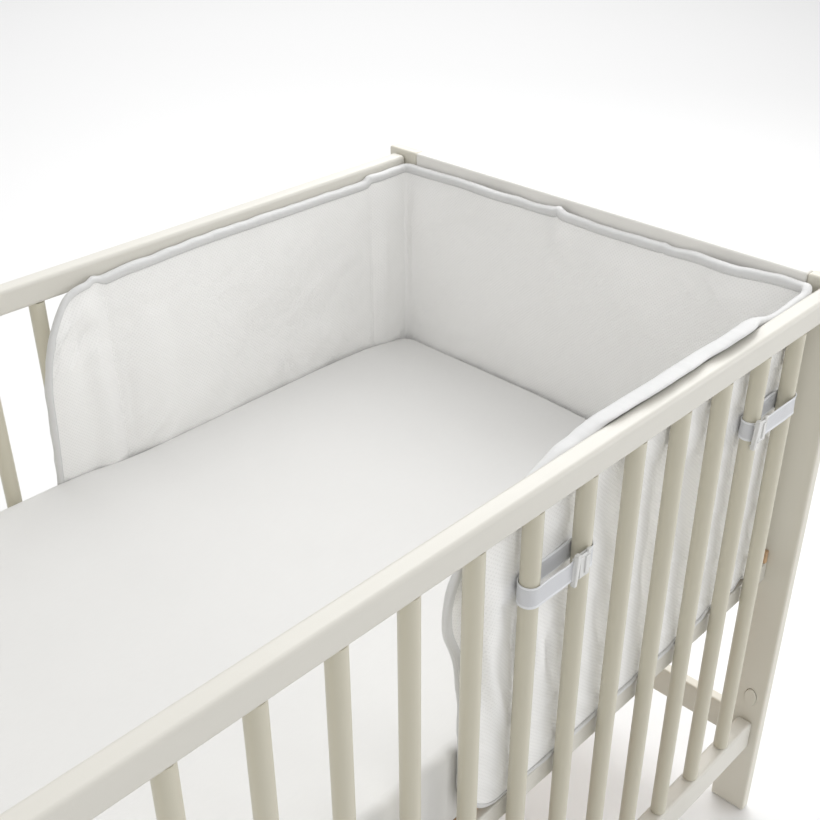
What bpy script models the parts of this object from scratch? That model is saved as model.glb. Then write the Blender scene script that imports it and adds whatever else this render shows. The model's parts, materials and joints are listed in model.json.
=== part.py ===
"""A padded mesh crib bumper tied inside a painted crib, with its mattress.

Metres, +Z up. The origin is on the floor under the middle of the crib. +X points to the
head end and +Y to the far long side. The bumper stands between the mattress and the
spindles: it starts on the far side, passes along the head end and ends on the near side.
"""

import math

import bmesh
import bpy
from mathutils import Vector

GAP = 0.0003

# Crib frame
INNER_LENGTH = 1.211
SIDE_WIDTH = 0.660
RAIL_TOP = 0.795
RAIL_THICKNESS = 0.0215
RAIL_HEIGHT = 0.0285
LOW_RAIL_TOP = 0.165
LOW_RAIL_HEIGHT = 0.045
SPINDLE_RADIUS = 0.009
SPINDLE_SIDES = 12
SPINDLES_PER_SIDE = 16
FIRST_SPINDLE = 0.064
SPINDLE_PITCH = 0.0722
END_THICKNESS = 0.0155
END_WIDTH = 0.680
END_TOP = 0.802
LEG_WIDTH = 0.050
PANEL_BOTTOM = 0.390
CROSSBAR_TOP = 0.168
CROSSBAR_HEIGHT = 0.046
EDGE_ROUNDING = 0.004
RAIL_ROUNDING = 0.005
END_ROUNDING = 0.003
BASE_RAIL_ROUNDING = 0.002

# Angles in degrees under which neighbouring faces are shaded as one
TIMBER_SHADING = 35.0
CLOTH_SHADING = 50.0

# Mattress and what it lies on
BASE_RAIL_TOP = 0.422
BASE_RAIL_HEIGHT = 0.026
BASE_RAIL_WIDTH = 0.022
BASE_RAIL_OUTER = 0.3075
SLAT_THICKNESS = 0.0075
SLAT_COUNT = 12
SLAT_SHARE = 0.55
SLAT_FRAME_WIDTH = 0.597
SLAT_STRIP = 0.022
MATTRESS_LENGTH = 1.185
MATTRESS_WIDTH = 0.596
MATTRESS_TOP = 0.532
MATTRESS_CORNER = 0.050
MATTRESS_EDGE = 0.025

# Bumper sheet
SHEET_LINE_Y = 0.304
SHEET_LINE_X = 0.600
FAR_END_X = 0.0195
NEAR_END_X = 0.0255
FAR_CORNER_RADIUS = 0.008
NEAR_CORNER_RADIUS = 0.022
SHEET_BOTTOM = 0.4245
END_BAR_START = 0.555
END_BAR_END = 1.215
END_BAR_RAMP = 0.020
END_BAR_RISE = 0.0078
LOW_EDGE_WAVE = 0.0012
LOW_EDGE_WAVE_LENGTH = 0.203
EDGE_HALF = 0.0025
BODY_HALF = 0.0038
BODY_FULLNESS = 0.35
SEAM_HALF_WIDTH = 0.010
FOLD_SHARPNESS = 1.2
TOP_CORNER = (0.075, 0.125)
LOW_CORNER = (0.060, 0.070)
SHEET_ROWS = 8
SEAMS = (0.091, 0.509, 0.848, 1.247, 1.665)
FADE_LOW = 0.500
FADE_HIGH = 0.545
BULGE_FADE = 0.040

# Binding tape folded round the sheet's edge
BINDING_REACH = 0.0115
BINDING_WALL = 0.0012
RING_INSET = 0.0135
CROWN_SHARE = 0.75

# Straps and clips
STRAP_WIDTH = 0.022
STRAP_THICKNESS = 0.0012
STRAP_HEIGHT = 0.682
STRAP_TURN_STEPS = 6
STRAPS = (
    # spindle away from the head, spindle next to it, clip's distance from the middle
    (6, 5, 0.0215),
    (1, 0, -0.0370),
)
CLIP_LENGTH = 0.024
CLIP_WALL = 0.002
CLIP_BAR = (0.006, 0.003, 0.036)

# Height of the bumper's top edge below the top of the rails, by distance along the bumper
TOP_EDGE = (
    # distance, height
    (0.000, -0.019),
    (0.091, -0.019),
    (0.130, -0.016),
    (0.227, -0.013),
    (0.400, -0.014),
    (0.501, -0.015),
    (0.509, -0.010),
    (0.578, -0.010),
    (0.610, -0.009),
    (0.717, -0.007),
    (0.817, -0.008),
    (0.848, -0.005),
    (0.880, -0.009),
    (0.909, -0.010),
    (0.994, -0.009),
    (1.073, -0.006),
    (1.161, -0.003),
    (1.200, -0.004),
    (1.255, -0.007),
    (1.300, 0.001),
    (1.340, 0.004),
    (1.420, 0.003),
    (1.470, 0.005),
    (1.550, 0.002),
    (1.600, -0.005),
    (1.665, -0.012),
    (1.760, -0.016),
)

# Soft folds of the standing sheet. Depth is towards the mattress, lean tilts the fold.
FOLDS = (
    # distance, half width, height, half height, depth, lean
    (0.010, 0.075, 0.690, 0.180, 0.0120, 0.00),
    (0.050, 0.022, 0.745, 0.035, 0.0040, 0.45),
    (0.063, 0.018, 0.712, 0.030, -0.0030, -0.40),
    (0.118, 0.026, 0.640, 0.120, -0.0010, 0.05),
    (0.190, 0.060, 0.575, 0.060, 0.0035, 0.80),
    (0.330, 0.090, 0.700, 0.100, 0.0030, 0.10),
    (0.420, 0.050, 0.580, 0.050, 0.0035, -0.60),
    (0.540, 0.030, 0.690, 0.150, 0.0030, 0.02),
    (0.612, 0.030, 0.720, 0.090, 0.0035, 0.10),
    (0.735, 0.070, 0.780, 0.070, 0.0040, 0.10),
    (0.850, 0.030, 0.770, 0.060, 0.0055, 0.05),
    (0.935, 0.060, 0.785, 0.050, -0.0009, 0.00),
    (0.960, 0.080, 0.700, 0.110, 0.0045, -0.10),
    (1.090, 0.060, 0.760, 0.090, 0.0070, -0.15),
    (1.120, 0.045, 0.620, 0.080, 0.0035, 0.20),
    (1.340, 0.075, 0.800, 0.050, 0.0060, 0.00),
    (1.470, 0.080, 0.790, 0.060, 0.0050, 0.00),
    (1.420, 0.060, 0.640, 0.120, 0.0040, 0.10),
    (1.560, 0.060, 0.720, 0.100, 0.0040, 0.25),
    (1.631, 0.026, 0.595, 0.065, -0.0045, 0.05),
    (1.703, 0.026, 0.665, 0.110, -0.0050, -0.06),
    (1.745, 0.045, 0.640, 0.110, 0.0100, -0.12),
)

# Stretches of the bumper's length between stations, with the steps in each
STRETCHES = (
    # end of the stretch, steps
    (0.083, 2),
    (0.091, 1),
    (0.099, 1),
    (0.501, 15),
    (0.509, 1),
    (0.517, 1),
    (0.568, 2),
    (0.584, 4),
    (0.840, 10),
    (0.848, 1),
    (0.856, 1),
    (1.150, 12),
    (1.192, 5),
    (1.240, 3),
    (1.247, 1),
    (1.254, 1),
    (1.578, 13),
    (1.657, 7),
    (1.665, 1),
    (1.673, 1),
)
END_STEPS = 6

PAINT = ("off_white_paint", (0.86, 0.84, 0.78, 1.0), 0.40)
RAW_WOOD = ("raw_pine", (0.72, 0.50, 0.32, 1.0), 0.60)
MESH_CLOTH = ("spacer_mesh", (0.88, 0.88, 0.87, 1.0), 0.85)
BINDING_CLOTH = ("satin_binding", (0.92, 0.92, 0.92, 1.0), 0.55)
SHEET_CLOTH = ("fitted_sheet", (0.90, 0.90, 0.89, 1.0), 0.90)
WEBBING = ("webbing", (0.90, 0.90, 0.91, 1.0), 0.70)
PLASTIC = ("white_plastic", (0.93, 0.93, 0.92, 1.0), 0.22)


def clear_scene():
    for obj in list(bpy.data.objects):
        bpy.data.objects.remove(obj, do_unlink=True)


def material(finish):
    name, colour, roughness = finish
    if name in bpy.data.materials:
        return bpy.data.materials[name]
    made = bpy.data.materials.new(name)
    made.use_nodes = True
    shader = made.node_tree.nodes["Principled BSDF"]
    shader.inputs["Base Color"].default_value = colour
    shader.inputs["Roughness"].default_value = roughness
    shader.inputs["Metallic"].default_value = 0.0
    return made


def add_object(name, shape, finish):
    """Makes an object with outward faces and its own copy of the finish."""
    bmesh.ops.recalc_face_normals(shape, faces=shape.faces)
    mesh = bpy.data.meshes.new(name)
    shape.to_mesh(mesh)
    shape.free()
    mesh.materials.append(material(finish))
    obj = bpy.data.objects.new(name, mesh)
    bpy.context.scene.collection.objects.link(obj)
    return obj


def shade_round(obj, angle):
    obj.data.shade_smooth()
    obj.data.set_sharp_from_angle(angle=math.radians(angle))


def board(name, low, high, finish, rounding=EDGE_ROUNDING, segments=2):
    """A straight piece of timber between two corners, its edges rounded."""
    low = Vector(low)
    high = Vector(high)
    shape = bmesh.new()
    bmesh.ops.create_cube(shape, size=1.0)
    bmesh.ops.scale(shape, vec=high - low, verts=shape.verts)
    obj = add_object(name, shape, finish)
    obj.location = (low + high) / 2
    if rounding:
        soft = obj.modifiers.new("rounded edges", "BEVEL")
        soft.width = rounding
        soft.segments = segments
        soft.limit_method = "ANGLE"
    return obj


def spindle_x(number):
    """Distance of a spindle from the middle of the crib, counted from the head end."""
    return INNER_LENGTH / 2 - FIRST_SPINDLE - SPINDLE_PITCH * number


def spindle_y():
    return SIDE_WIDTH / 2 - RAIL_THICKNESS / 2


def add_spindles(side, sign):
    low = LOW_RAIL_TOP + GAP
    high = RAIL_TOP - RAIL_HEIGHT - GAP
    shape = bmesh.new()
    bmesh.ops.create_cone(
        shape, cap_ends=True, segments=SPINDLE_SIDES,
        radius1=SPINDLE_RADIUS, radius2=SPINDLE_RADIUS, depth=high - low,
    )
    first = add_object(f"spindle_{side}_01", shape, PAINT)
    shade_round(first, TIMBER_SHADING)
    for number in range(SPINDLES_PER_SIDE):
        obj = first
        if number:
            obj = bpy.data.objects.new(f"spindle_{side}_{number + 1:02d}", first.data)
            bpy.context.scene.collection.objects.link(obj)
        obj.location = (spindle_x(number), sign * spindle_y(), (low + high) / 2)


def add_side(side, sign):
    """A long side: its top rail, bottom rail and spindles."""
    length = INNER_LENGTH / 2 - GAP
    inner = SIDE_WIDTH / 2 - RAIL_THICKNESS
    outer = SIDE_WIDTH / 2
    y_low, y_high = sorted((sign * inner, sign * outer))
    board(
        f"top_rail_{side}",
        (-length, y_low, RAIL_TOP - RAIL_HEIGHT), (length, y_high, RAIL_TOP),
        PAINT, RAIL_ROUNDING, segments=3,
    )
    board(
        f"bottom_rail_{side}",
        (-length, y_low, LOW_RAIL_TOP - LOW_RAIL_HEIGHT), (length, y_high, LOW_RAIL_TOP), PAINT,
    )
    add_spindles(side, sign)


def add_end(end, sign):
    """A crib end: a solid panel and a lower crossbar between two legs, flush inside."""
    inner = INNER_LENGTH / 2
    x_low, x_high = sorted((sign * inner, sign * (inner + END_THICKNESS)))
    half = END_WIDTH / 2
    between = half - LEG_WIDTH - GAP
    board(
        f"{end}_panel",
        (x_low, -between, PANEL_BOTTOM), (x_high, between, END_TOP), PAINT, END_ROUNDING,
    )
    board(
        f"{end}_crossbar",
        (x_low, -between, CROSSBAR_TOP - CROSSBAR_HEIGHT), (x_high, between, CROSSBAR_TOP),
        PAINT, END_ROUNDING,
    )
    for side, y_sign in (("far", 1), ("near", -1)):
        y_low, y_high = sorted((y_sign * (between + GAP), y_sign * half))
        board(
            f"{end}_leg_{side}",
            (x_low, y_low, 0.0), (x_high, y_high, END_TOP), PAINT, END_ROUNDING,
        )


def add_base_rails():
    length = INNER_LENGTH / 2 - GAP
    for side, sign in (("far", 1), ("near", -1)):
        y_low, y_high = sorted((sign * BASE_RAIL_OUTER, sign * (BASE_RAIL_OUTER - BASE_RAIL_WIDTH)))
        board(
            f"base_rail_{side}",
            (-length, y_low, BASE_RAIL_TOP - BASE_RAIL_HEIGHT), (length, y_high, BASE_RAIL_TOP),
            PAINT, BASE_RAIL_ROUNDING,
        )


def slat_edges():
    """Ends of each slat and gap along the crib, from one end bar to the other."""
    length = INNER_LENGTH - 2 * GAP
    slat = length / SLAT_COUNT * SLAT_SHARE
    pitch = (length - slat) / (SLAT_COUNT - 1)
    edges = []
    for number in range(SLAT_COUNT):
        start = pitch * number - length / 2
        edges += [start, start + slat]
    return edges


def add_slat_base():
    """Raw wood slats joined by two long strips, all in one plane, lying on the base rails."""
    half = SLAT_FRAME_WIDTH / 2
    rows = (-half, -half + SLAT_STRIP, half - SLAT_STRIP, half)
    edges = slat_edges()
    low = BASE_RAIL_TOP + GAP
    shape = bmesh.new()
    grid = [[shape.verts.new((x, y, low)) for y in rows] for x in edges]
    for i in range(len(edges) - 1):
        for j in range(len(rows) - 1):
            if i % 2 == 1 and j == 1:
                continue
            shape.faces.new((grid[i][j], grid[i + 1][j], grid[i + 1][j + 1], grid[i][j + 1]))
    raised = bmesh.ops.extrude_face_region(shape, geom=shape.faces[:], use_keep_orig=True)
    top = [item for item in raised["geom"] if isinstance(item, bmesh.types.BMVert)]
    bmesh.ops.translate(shape, vec=(0, 0, SLAT_THICKNESS), verts=top)
    add_object("slat_base", shape, RAW_WOOD)


def add_mattress():
    """A foam mattress in a fitted sheet, its corners and edges softly rounded."""
    low = BASE_RAIL_TOP + GAP + SLAT_THICKNESS + GAP
    shape = bmesh.new()
    bmesh.ops.create_cube(shape, size=1.0)
    bmesh.ops.scale(shape, vec=(MATTRESS_LENGTH, MATTRESS_WIDTH, MATTRESS_TOP - low), verts=shape.verts)
    bmesh.ops.translate(shape, vec=(0, 0, (MATTRESS_TOP + low) / 2), verts=shape.verts)
    upright = [edge for edge in shape.edges if edge.verts[0].co.xy == edge.verts[1].co.xy]
    bmesh.ops.bevel(
        shape, geom=upright, offset=MATTRESS_CORNER, offset_type="OFFSET",
        affect="EDGES", segments=5, profile=0.5, material=-1,
    )
    rims = [edge for edge in shape.edges if edge.verts[0].co.z == edge.verts[1].co.z]
    bmesh.ops.bevel(
        shape, geom=rims, offset=MATTRESS_EDGE, offset_type="OFFSET",
        affect="EDGES", segments=4, profile=0.5, material=-1,
    )
    shade_round(add_object("mattress", shape, SHEET_CLOTH), TIMBER_SHADING)


def arc_cut(radius):
    """How much shorter a rounded corner's line is than its square corner's."""
    return radius * (2 - math.pi / 2)


def bumper_length():
    straight = (SHEET_LINE_X - FAR_END_X) + 2 * SHEET_LINE_Y + (SHEET_LINE_X - NEAR_END_X)
    return straight - arc_cut(FAR_CORNER_RADIUS) - arc_cut(NEAR_CORNER_RADIUS)


def turn(centre, radius, start_angle, distance):
    """A point on a corner, turning clockwise, and the direction of travel there."""
    angle = start_angle - distance / radius
    point = centre + Vector((math.cos(angle), math.sin(angle))) * radius
    return point, Vector((math.sin(angle), -math.cos(angle)))


def bumper_line(distance):
    """Plan point and travel direction at a distance along the bumper, from its far end."""
    far_run = SHEET_LINE_X - FAR_CORNER_RADIUS - FAR_END_X
    if distance <= far_run:
        return Vector((FAR_END_X + distance, SHEET_LINE_Y)), Vector((1, 0))
    distance -= far_run
    far_arc = FAR_CORNER_RADIUS * math.pi / 2
    if distance <= far_arc:
        centre = Vector((SHEET_LINE_X - FAR_CORNER_RADIUS, SHEET_LINE_Y - FAR_CORNER_RADIUS))
        return turn(centre, FAR_CORNER_RADIUS, math.pi / 2, distance)
    distance -= far_arc
    head_run = 2 * SHEET_LINE_Y - FAR_CORNER_RADIUS - NEAR_CORNER_RADIUS
    if distance <= head_run:
        start = SHEET_LINE_Y - FAR_CORNER_RADIUS
        return Vector((SHEET_LINE_X, start - distance)), Vector((0, -1))
    distance -= head_run
    near_arc = NEAR_CORNER_RADIUS * math.pi / 2
    if distance <= near_arc:
        centre = Vector((SHEET_LINE_X - NEAR_CORNER_RADIUS, NEAR_CORNER_RADIUS - SHEET_LINE_Y))
        return turn(centre, NEAR_CORNER_RADIUS, 0.0, distance)
    distance -= near_arc
    start = SHEET_LINE_X - NEAR_CORNER_RADIUS
    return Vector((start - distance, -SHEET_LINE_Y)), Vector((-1, 0))


def smooth_step(value):
    value = min(1.0, max(0.0, value))
    return value * value * (3 - 2 * value)


def from_table(table, distance):
    """Smooth reading between the rows of a table of distance and height."""
    for (start, low), (end, high) in zip(table, table[1:]):
        if distance <= end:
            return low + (high - low) * smooth_step((distance - start) / (end - start))
    return table[-1][1]


def corner_drop(distance, corner):
    """How far a rounded corner of the given width and height takes off at a distance from the end."""
    width, height = corner
    if distance >= width:
        return 0.0
    part = 1 - distance / width
    return height * (1 - math.sqrt(1 - part * part))


def from_end(distance):
    return min(distance, bumper_length() - distance)


def top_height(distance):
    return RAIL_TOP + from_table(TOP_EDGE, distance) - corner_drop(from_end(distance), TOP_CORNER)


def low_height(distance):
    """The lower edge stands on the base rails, and on the slat frame's end bar at the head."""
    on_bar = smooth_step((distance - END_BAR_START) / END_BAR_RAMP)
    on_bar *= smooth_step((END_BAR_END - distance) / END_BAR_RAMP)
    uneven = LOW_EDGE_WAVE * (1 - math.cos(2 * math.pi * distance / LOW_EDGE_WAVE_LENGTH))
    return SHEET_BOTTOM + END_BAR_RISE * on_bar + uneven + corner_drop(from_end(distance), LOW_CORNER)


def hump(value):
    """A soft hump, one at zero and nothing from one outwards."""
    if abs(value) >= 1:
        return 0.0
    return (0.5 + 0.5 * math.cos(math.pi * value)) ** FOLD_SHARPNESS


def fold_depth(distance, height):
    """How far the standing sheet is pushed towards the mattress there."""
    depth = 0.0
    for along, half_width, middle, half_height, reach, lean in FOLDS:
        slanted = distance - along - lean * (height - middle)
        depth += reach * hump(slanted / half_width) * hump((height - middle) / half_height)
    if depth < 0:
        depth *= smooth_step((RAIL_TOP - RAIL_HEIGHT - height) / BULGE_FADE)
    return depth * smooth_step((height - FADE_LOW) / (FADE_HIGH - FADE_LOW))


def seam_pinch(distance):
    pinch = 1.0
    for seam in SEAMS:
        pinch *= 1 - hump((distance - seam) / SEAM_HALF_WIDTH)
    return pinch


def sheet_point(distance, height):
    """Middle of the sheet's thickness, and the direction towards the mattress."""
    point, travel = bumper_line(distance)
    inward = Vector((travel.y, -travel.x))
    point = point + inward * fold_depth(distance, height)
    return Vector((point.x, point.y, height)), Vector((inward.x, inward.y, 0.0))


def stations():
    """Distances of the sheet's columns, closer together at corners, seams and round ends."""
    length = bumper_length()
    width = TOP_CORNER[0]
    ends = [width * (1 - math.cos(math.pi / 2 * step / END_STEPS)) for step in range(END_STEPS + 1)]
    found = list(ends)
    for end, steps in STRETCHES:
        start = found[-1]
        found += [start + (end - start) * (step + 1) / steps for step in range(steps)]
    found += [length - distance for distance in reversed(ends)]
    return found


def sheet_outline(columns):
    """The sheet's rim in its own plane: bottom, near end, top and far end, as distance and height."""
    shares = [row / SHEET_ROWS for row in range(1, SHEET_ROWS)]
    bottom = [(distance, low_height(distance)) for distance in columns]
    top = [(distance, top_height(distance)) for distance in columns]
    near_end = [(bottom[-1][0], bottom[-1][1] + (top[-1][1] - bottom[-1][1]) * share) for share in shares]
    far_end = [(bottom[0][0], bottom[0][1] + (top[0][1] - bottom[0][1]) * share) for share in shares]
    return bottom + near_end + top[::-1] + far_end[::-1]


def inset_outline(outline, inset):
    """The rim moved inwards, square to its own line."""
    moved = []
    count = len(outline)
    for index, point in enumerate(outline):
        before = Vector(outline[index - 1])
        after = Vector(outline[(index + 1) % count])
        along = (after - before).normalized()
        moved.append((point[0] - along.y * inset, point[1] + along.x * inset))
    return moved


def inner_grid(ring, columns, rows):
    """Points of the sheet inside its inner ring, by column and row."""
    bottom = ring[:columns]
    near_end = [ring[columns - 1]] + ring[columns:columns + rows - 1] + [ring[columns + rows - 1]]
    top = ring[columns + rows - 1:2 * columns + rows - 1][::-1]
    far_end = [ring[0]] + ring[2 * columns + rows - 1:][::-1] + [top[0]]
    grid = []
    for i in range(columns):
        column = []
        for j in range(rows + 1):
            share = j / rows
            point = Vector(bottom[i]) * (1 - share) + Vector(top[i]) * share
            column.append((point.x, point.y))
        grid.append(column)
    grid[0] = far_end
    grid[-1] = near_end
    return grid


def half_thickness(distance, share):
    """Half the pad's thickness: thin at the rim and at the seams, full between them."""
    rise = math.sin(math.pi * share) ** BODY_FULLNESS if 0 < share < 1 else 0.0
    return EDGE_HALF + (BODY_HALF - EDGE_HALF) * rise * seam_pinch(distance)


def add_quad(shape, a, b, c, d):
    """Two triangles that share the diagonal from a to c, so that layers are split alike."""
    shape.faces.new((a, b, c))
    shape.faces.new((a, c, d))


def add_face_of_sheet(shape, outline, grid, sign):
    """One face of the pad: its rim, its inner ring and the grid inside. Returns the rim's points."""
    columns = len(grid)
    rows = len(grid[0]) - 1
    rim = []
    for distance, height in outline:
        point, inward = sheet_point(distance, height)
        rim.append(shape.verts.new(point + inward * EDGE_HALF * sign))
    inner = []
    for i, column in enumerate(grid):
        line = []
        for j, (distance, height) in enumerate(column):
            point, inward = sheet_point(distance, height)
            share = j / rows if 0 < i < columns - 1 else 0.0
            line.append(shape.verts.new(point + inward * half_thickness(distance, share) * sign))
        inner.append(line)
    ring = [inner[i][0] for i in range(columns)]
    ring += [inner[-1][j] for j in range(1, rows)]
    ring += [inner[i][rows] for i in reversed(range(columns))]
    ring += [inner[0][j] for j in reversed(range(1, rows))]
    for index in range(len(rim)):
        after = (index + 1) % len(rim)
        add_quad(shape, rim[index], rim[after], ring[after], ring[index])
    for i in range(columns - 1):
        for j in range(rows):
            shape.faces.new((inner[i][j], inner[i + 1][j], inner[i + 1][j + 1], inner[i][j + 1]))
    return rim


def add_bumper_sheet(outline, grid):
    shape = bmesh.new()
    front = add_face_of_sheet(shape, outline, grid, 1)
    back = add_face_of_sheet(shape, outline, grid, -1)
    for index in range(len(front)):
        after = (index + 1) % len(front)
        shape.faces.new((front[index], front[after], back[after], back[index]))
    shade_round(add_object("bumper", shape, MESH_CLOTH), CLOTH_SHADING)


def binding_loop(rim, rim_inward, inner, inner_inward):
    """The folded tape cut across at one station of the rim, hem to hem, inside then outside."""
    inside = EDGE_HALF + GAP
    outside = inside + BINDING_WALL
    outward = (rim - inner).normalized()
    share = BINDING_REACH / RING_INSET
    hem = rim.lerp(inner, share)
    hem_inward = rim_inward.lerp(inner_inward, share).normalized()
    crown = rim + outward * (GAP + BINDING_WALL)
    return (
        hem + hem_inward * inside,
        rim + outward * GAP + rim_inward * inside,
        rim + outward * GAP - rim_inward * inside,
        hem - hem_inward * inside,
        hem - hem_inward * outside,
        crown - rim_inward * outside * CROWN_SHARE,
        crown + rim_inward * outside * CROWN_SHARE,
        hem + hem_inward * outside,
    )


def add_binding(outline, ring):
    """One strip of tape folded over the whole rim, its joint closed."""
    shape = bmesh.new()
    loops = []
    for rim, inner in zip(outline, ring):
        points = binding_loop(*sheet_point(*rim), *sheet_point(*inner))
        loops.append([shape.verts.new(point) for point in points])
    for index, loop in enumerate(loops):
        after = loops[(index + 1) % len(loops)]
        add_quad(shape, loop[1], after[1], after[0], loop[0])
        for k in range(1, len(loop)):
            following = (k + 1) % len(loop)
            add_quad(shape, loop[k], after[k], after[following], loop[following])
    shade_round(add_object("binding", shape, BINDING_CLOTH), CLOTH_SHADING)


def add_bumper():
    columns = stations()
    outline = sheet_outline(columns)
    ring = inset_outline(outline, RING_INSET)
    grid = inner_grid(ring, len(columns), SHEET_ROWS)
    add_bumper_sheet(outline, grid)
    add_binding(outline, ring)


def strap_loop(left, right):
    """Plan points of a strap round two spindles, as seen from above, with outward directions."""
    reach = SPINDLE_RADIUS + GAP + STRAP_THICKNESS / 2
    points = []
    for x, start in ((right, -math.pi / 2), (left, math.pi / 2)):
        for step in range(STRAP_TURN_STEPS + 1):
            angle = start + math.pi * step / STRAP_TURN_STEPS
            outward = Vector((math.cos(angle), math.sin(angle), 0.0))
            points.append((Vector((x, 0.0, 0.0)) + outward * reach, outward))
    return points


def add_strap(name, left, right, sign):
    shape = bmesh.new()
    half = STRAP_THICKNESS / 2
    loops = []
    for point, outward in strap_loop(left, right):
        loop = []
        for side, rise in ((1, 0.5), (1, -0.5), (-1, -0.5), (-1, 0.5)):
            place = point + outward * side * half
            place.z = rise * STRAP_WIDTH
            loop.append(shape.verts.new(place))
        loops.append(loop)
    for index, loop in enumerate(loops):
        after = loops[(index + 1) % len(loops)]
        for k in range(4):
            shape.faces.new((loop[k], after[k], after[(k + 1) % 4], loop[(k + 1) % 4]))
    bmesh.ops.translate(shape, vec=(0.0, sign * spindle_y(), STRAP_HEIGHT), verts=shape.verts)
    shade_round(add_object(name, shape, WEBBING), TIMBER_SHADING)


def clip_profile():
    """The clip's channel cut across, as distances outwards and upwards, and its front's distance."""
    lip = SPINDLE_RADIUS + GAP
    back = lip + STRAP_THICKNESS + GAP
    front = back + CLIP_WALL
    half = STRAP_WIDTH / 2 + GAP
    upper = [(back, half), (lip, half), (lip, half + CLIP_WALL), (front, half + CLIP_WALL)]
    lower = [(out, -rise) for out, rise in reversed(upper)]
    return upper + lower, front


def add_clip(name, middle, sign):
    """A moulded clip over the strap's front run: a channel with lips, and a grip bar."""
    profile, front = clip_profile()
    place = Vector((middle, sign * spindle_y(), STRAP_HEIGHT))
    shape = bmesh.new()
    face = shape.faces.new([shape.verts.new((-CLIP_LENGTH / 2, out, rise)) for out, rise in profile])
    swept = bmesh.ops.extrude_face_region(shape, geom=[face], use_keep_orig=True)
    moved = [item for item in swept["geom"] if isinstance(item, bmesh.types.BMVert)]
    bmesh.ops.translate(shape, vec=(CLIP_LENGTH, 0, 0), verts=moved)
    bmesh.ops.scale(shape, vec=(1, sign, 1), verts=shape.verts)
    bmesh.ops.translate(shape, vec=place, verts=shape.verts)
    clip = add_object(name, shape, PLASTIC)

    width, depth, height = CLIP_BAR
    seat = front - CLIP_WALL / 2
    bar = bmesh.new()
    bmesh.ops.create_cube(bar, size=1.0)
    bmesh.ops.scale(bar, vec=(width, front + depth - seat, height), verts=bar.verts)
    offset = Vector(((width - CLIP_LENGTH) / 2, sign * (front + depth + seat) / 2, 0))
    bmesh.ops.translate(bar, vec=place + offset, verts=bar.verts)
    tool = add_object(name + "_bar_shape", bar, PLASTIC)
    tool.hide_render = True
    tool.display_type = "WIRE"
    joined = clip.modifiers.new("grip bar", "BOOLEAN")
    joined.operation = "UNION"
    joined.object = tool


def add_ties():
    for side, sign in (("far", 1), ("near", -1)):
        for number, (outer, inner, shift) in enumerate(STRAPS, start=1):
            left = spindle_x(outer)
            right = spindle_x(inner)
            add_strap(f"strap_{side}_{number}", left, right, sign)
            add_clip(f"clip_{side}_{number}", (left + right) / 2 + shift, sign)


def main():
    clear_scene()
    add_side("far", 1)
    add_side("near", -1)
    add_end("head", 1)
    add_end("foot", -1)
    add_base_rails()
    add_slat_base()
    add_mattress()
    add_bumper()
    add_ties()


main()
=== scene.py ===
"""The looks of a padded mesh crib bumper in its painted crib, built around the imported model.

Laid out as an add-on and run as a script. Metres, +Z up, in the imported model's own frame: the
origin is on the floor under the middle of the crib, +X points to the head end and +Y to the
far long side. The bumper runs from the far side round the head end to the near side.
"""

import json
import math

import bmesh
import bpy
from bpy.props import FloatProperty, FloatVectorProperty, IntProperty, PointerProperty
from mathutils import Matrix, Vector, noise

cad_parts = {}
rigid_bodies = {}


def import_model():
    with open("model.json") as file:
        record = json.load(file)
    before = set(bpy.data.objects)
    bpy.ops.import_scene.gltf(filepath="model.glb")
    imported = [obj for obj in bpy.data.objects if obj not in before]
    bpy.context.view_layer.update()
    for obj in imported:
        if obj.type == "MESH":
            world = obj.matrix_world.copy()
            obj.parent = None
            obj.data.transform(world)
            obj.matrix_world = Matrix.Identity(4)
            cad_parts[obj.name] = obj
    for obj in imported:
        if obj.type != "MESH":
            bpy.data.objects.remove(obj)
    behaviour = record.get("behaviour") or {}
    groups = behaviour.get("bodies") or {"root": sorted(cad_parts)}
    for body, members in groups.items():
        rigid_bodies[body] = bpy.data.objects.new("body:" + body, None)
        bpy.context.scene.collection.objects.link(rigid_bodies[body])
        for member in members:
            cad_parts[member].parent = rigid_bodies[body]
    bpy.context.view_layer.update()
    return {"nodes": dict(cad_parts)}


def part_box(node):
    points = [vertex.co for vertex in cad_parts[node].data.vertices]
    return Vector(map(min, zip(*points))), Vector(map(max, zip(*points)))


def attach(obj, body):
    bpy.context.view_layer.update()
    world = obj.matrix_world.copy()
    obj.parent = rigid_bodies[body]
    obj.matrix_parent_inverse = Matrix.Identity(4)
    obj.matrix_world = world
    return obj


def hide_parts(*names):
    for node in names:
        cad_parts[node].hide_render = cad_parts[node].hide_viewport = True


bl_info = {
    "name": "Crib bumper looks",
    "version": (1, 0, 0),
    "blender": (4, 5, 0),
    "location": "3D View > Sidebar > Crib bumper",
    "description": "Dresses the packed crib bumper in mesh cloth, tape, webbing and paint",
    "category": "Object",
}

for startup in list(bpy.data.objects):
    bpy.data.objects.remove(startup, do_unlink=True)
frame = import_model()

GAP = 0.0003

# Crib sizes that the soft pieces are laid against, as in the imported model
RAIL_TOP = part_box("top_rail_near")[1].z
RAIL_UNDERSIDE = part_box("top_rail_near")[0].z
SPINDLE_PLANE = 0.31925
SPINDLE_RADIUS = 0.009

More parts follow.
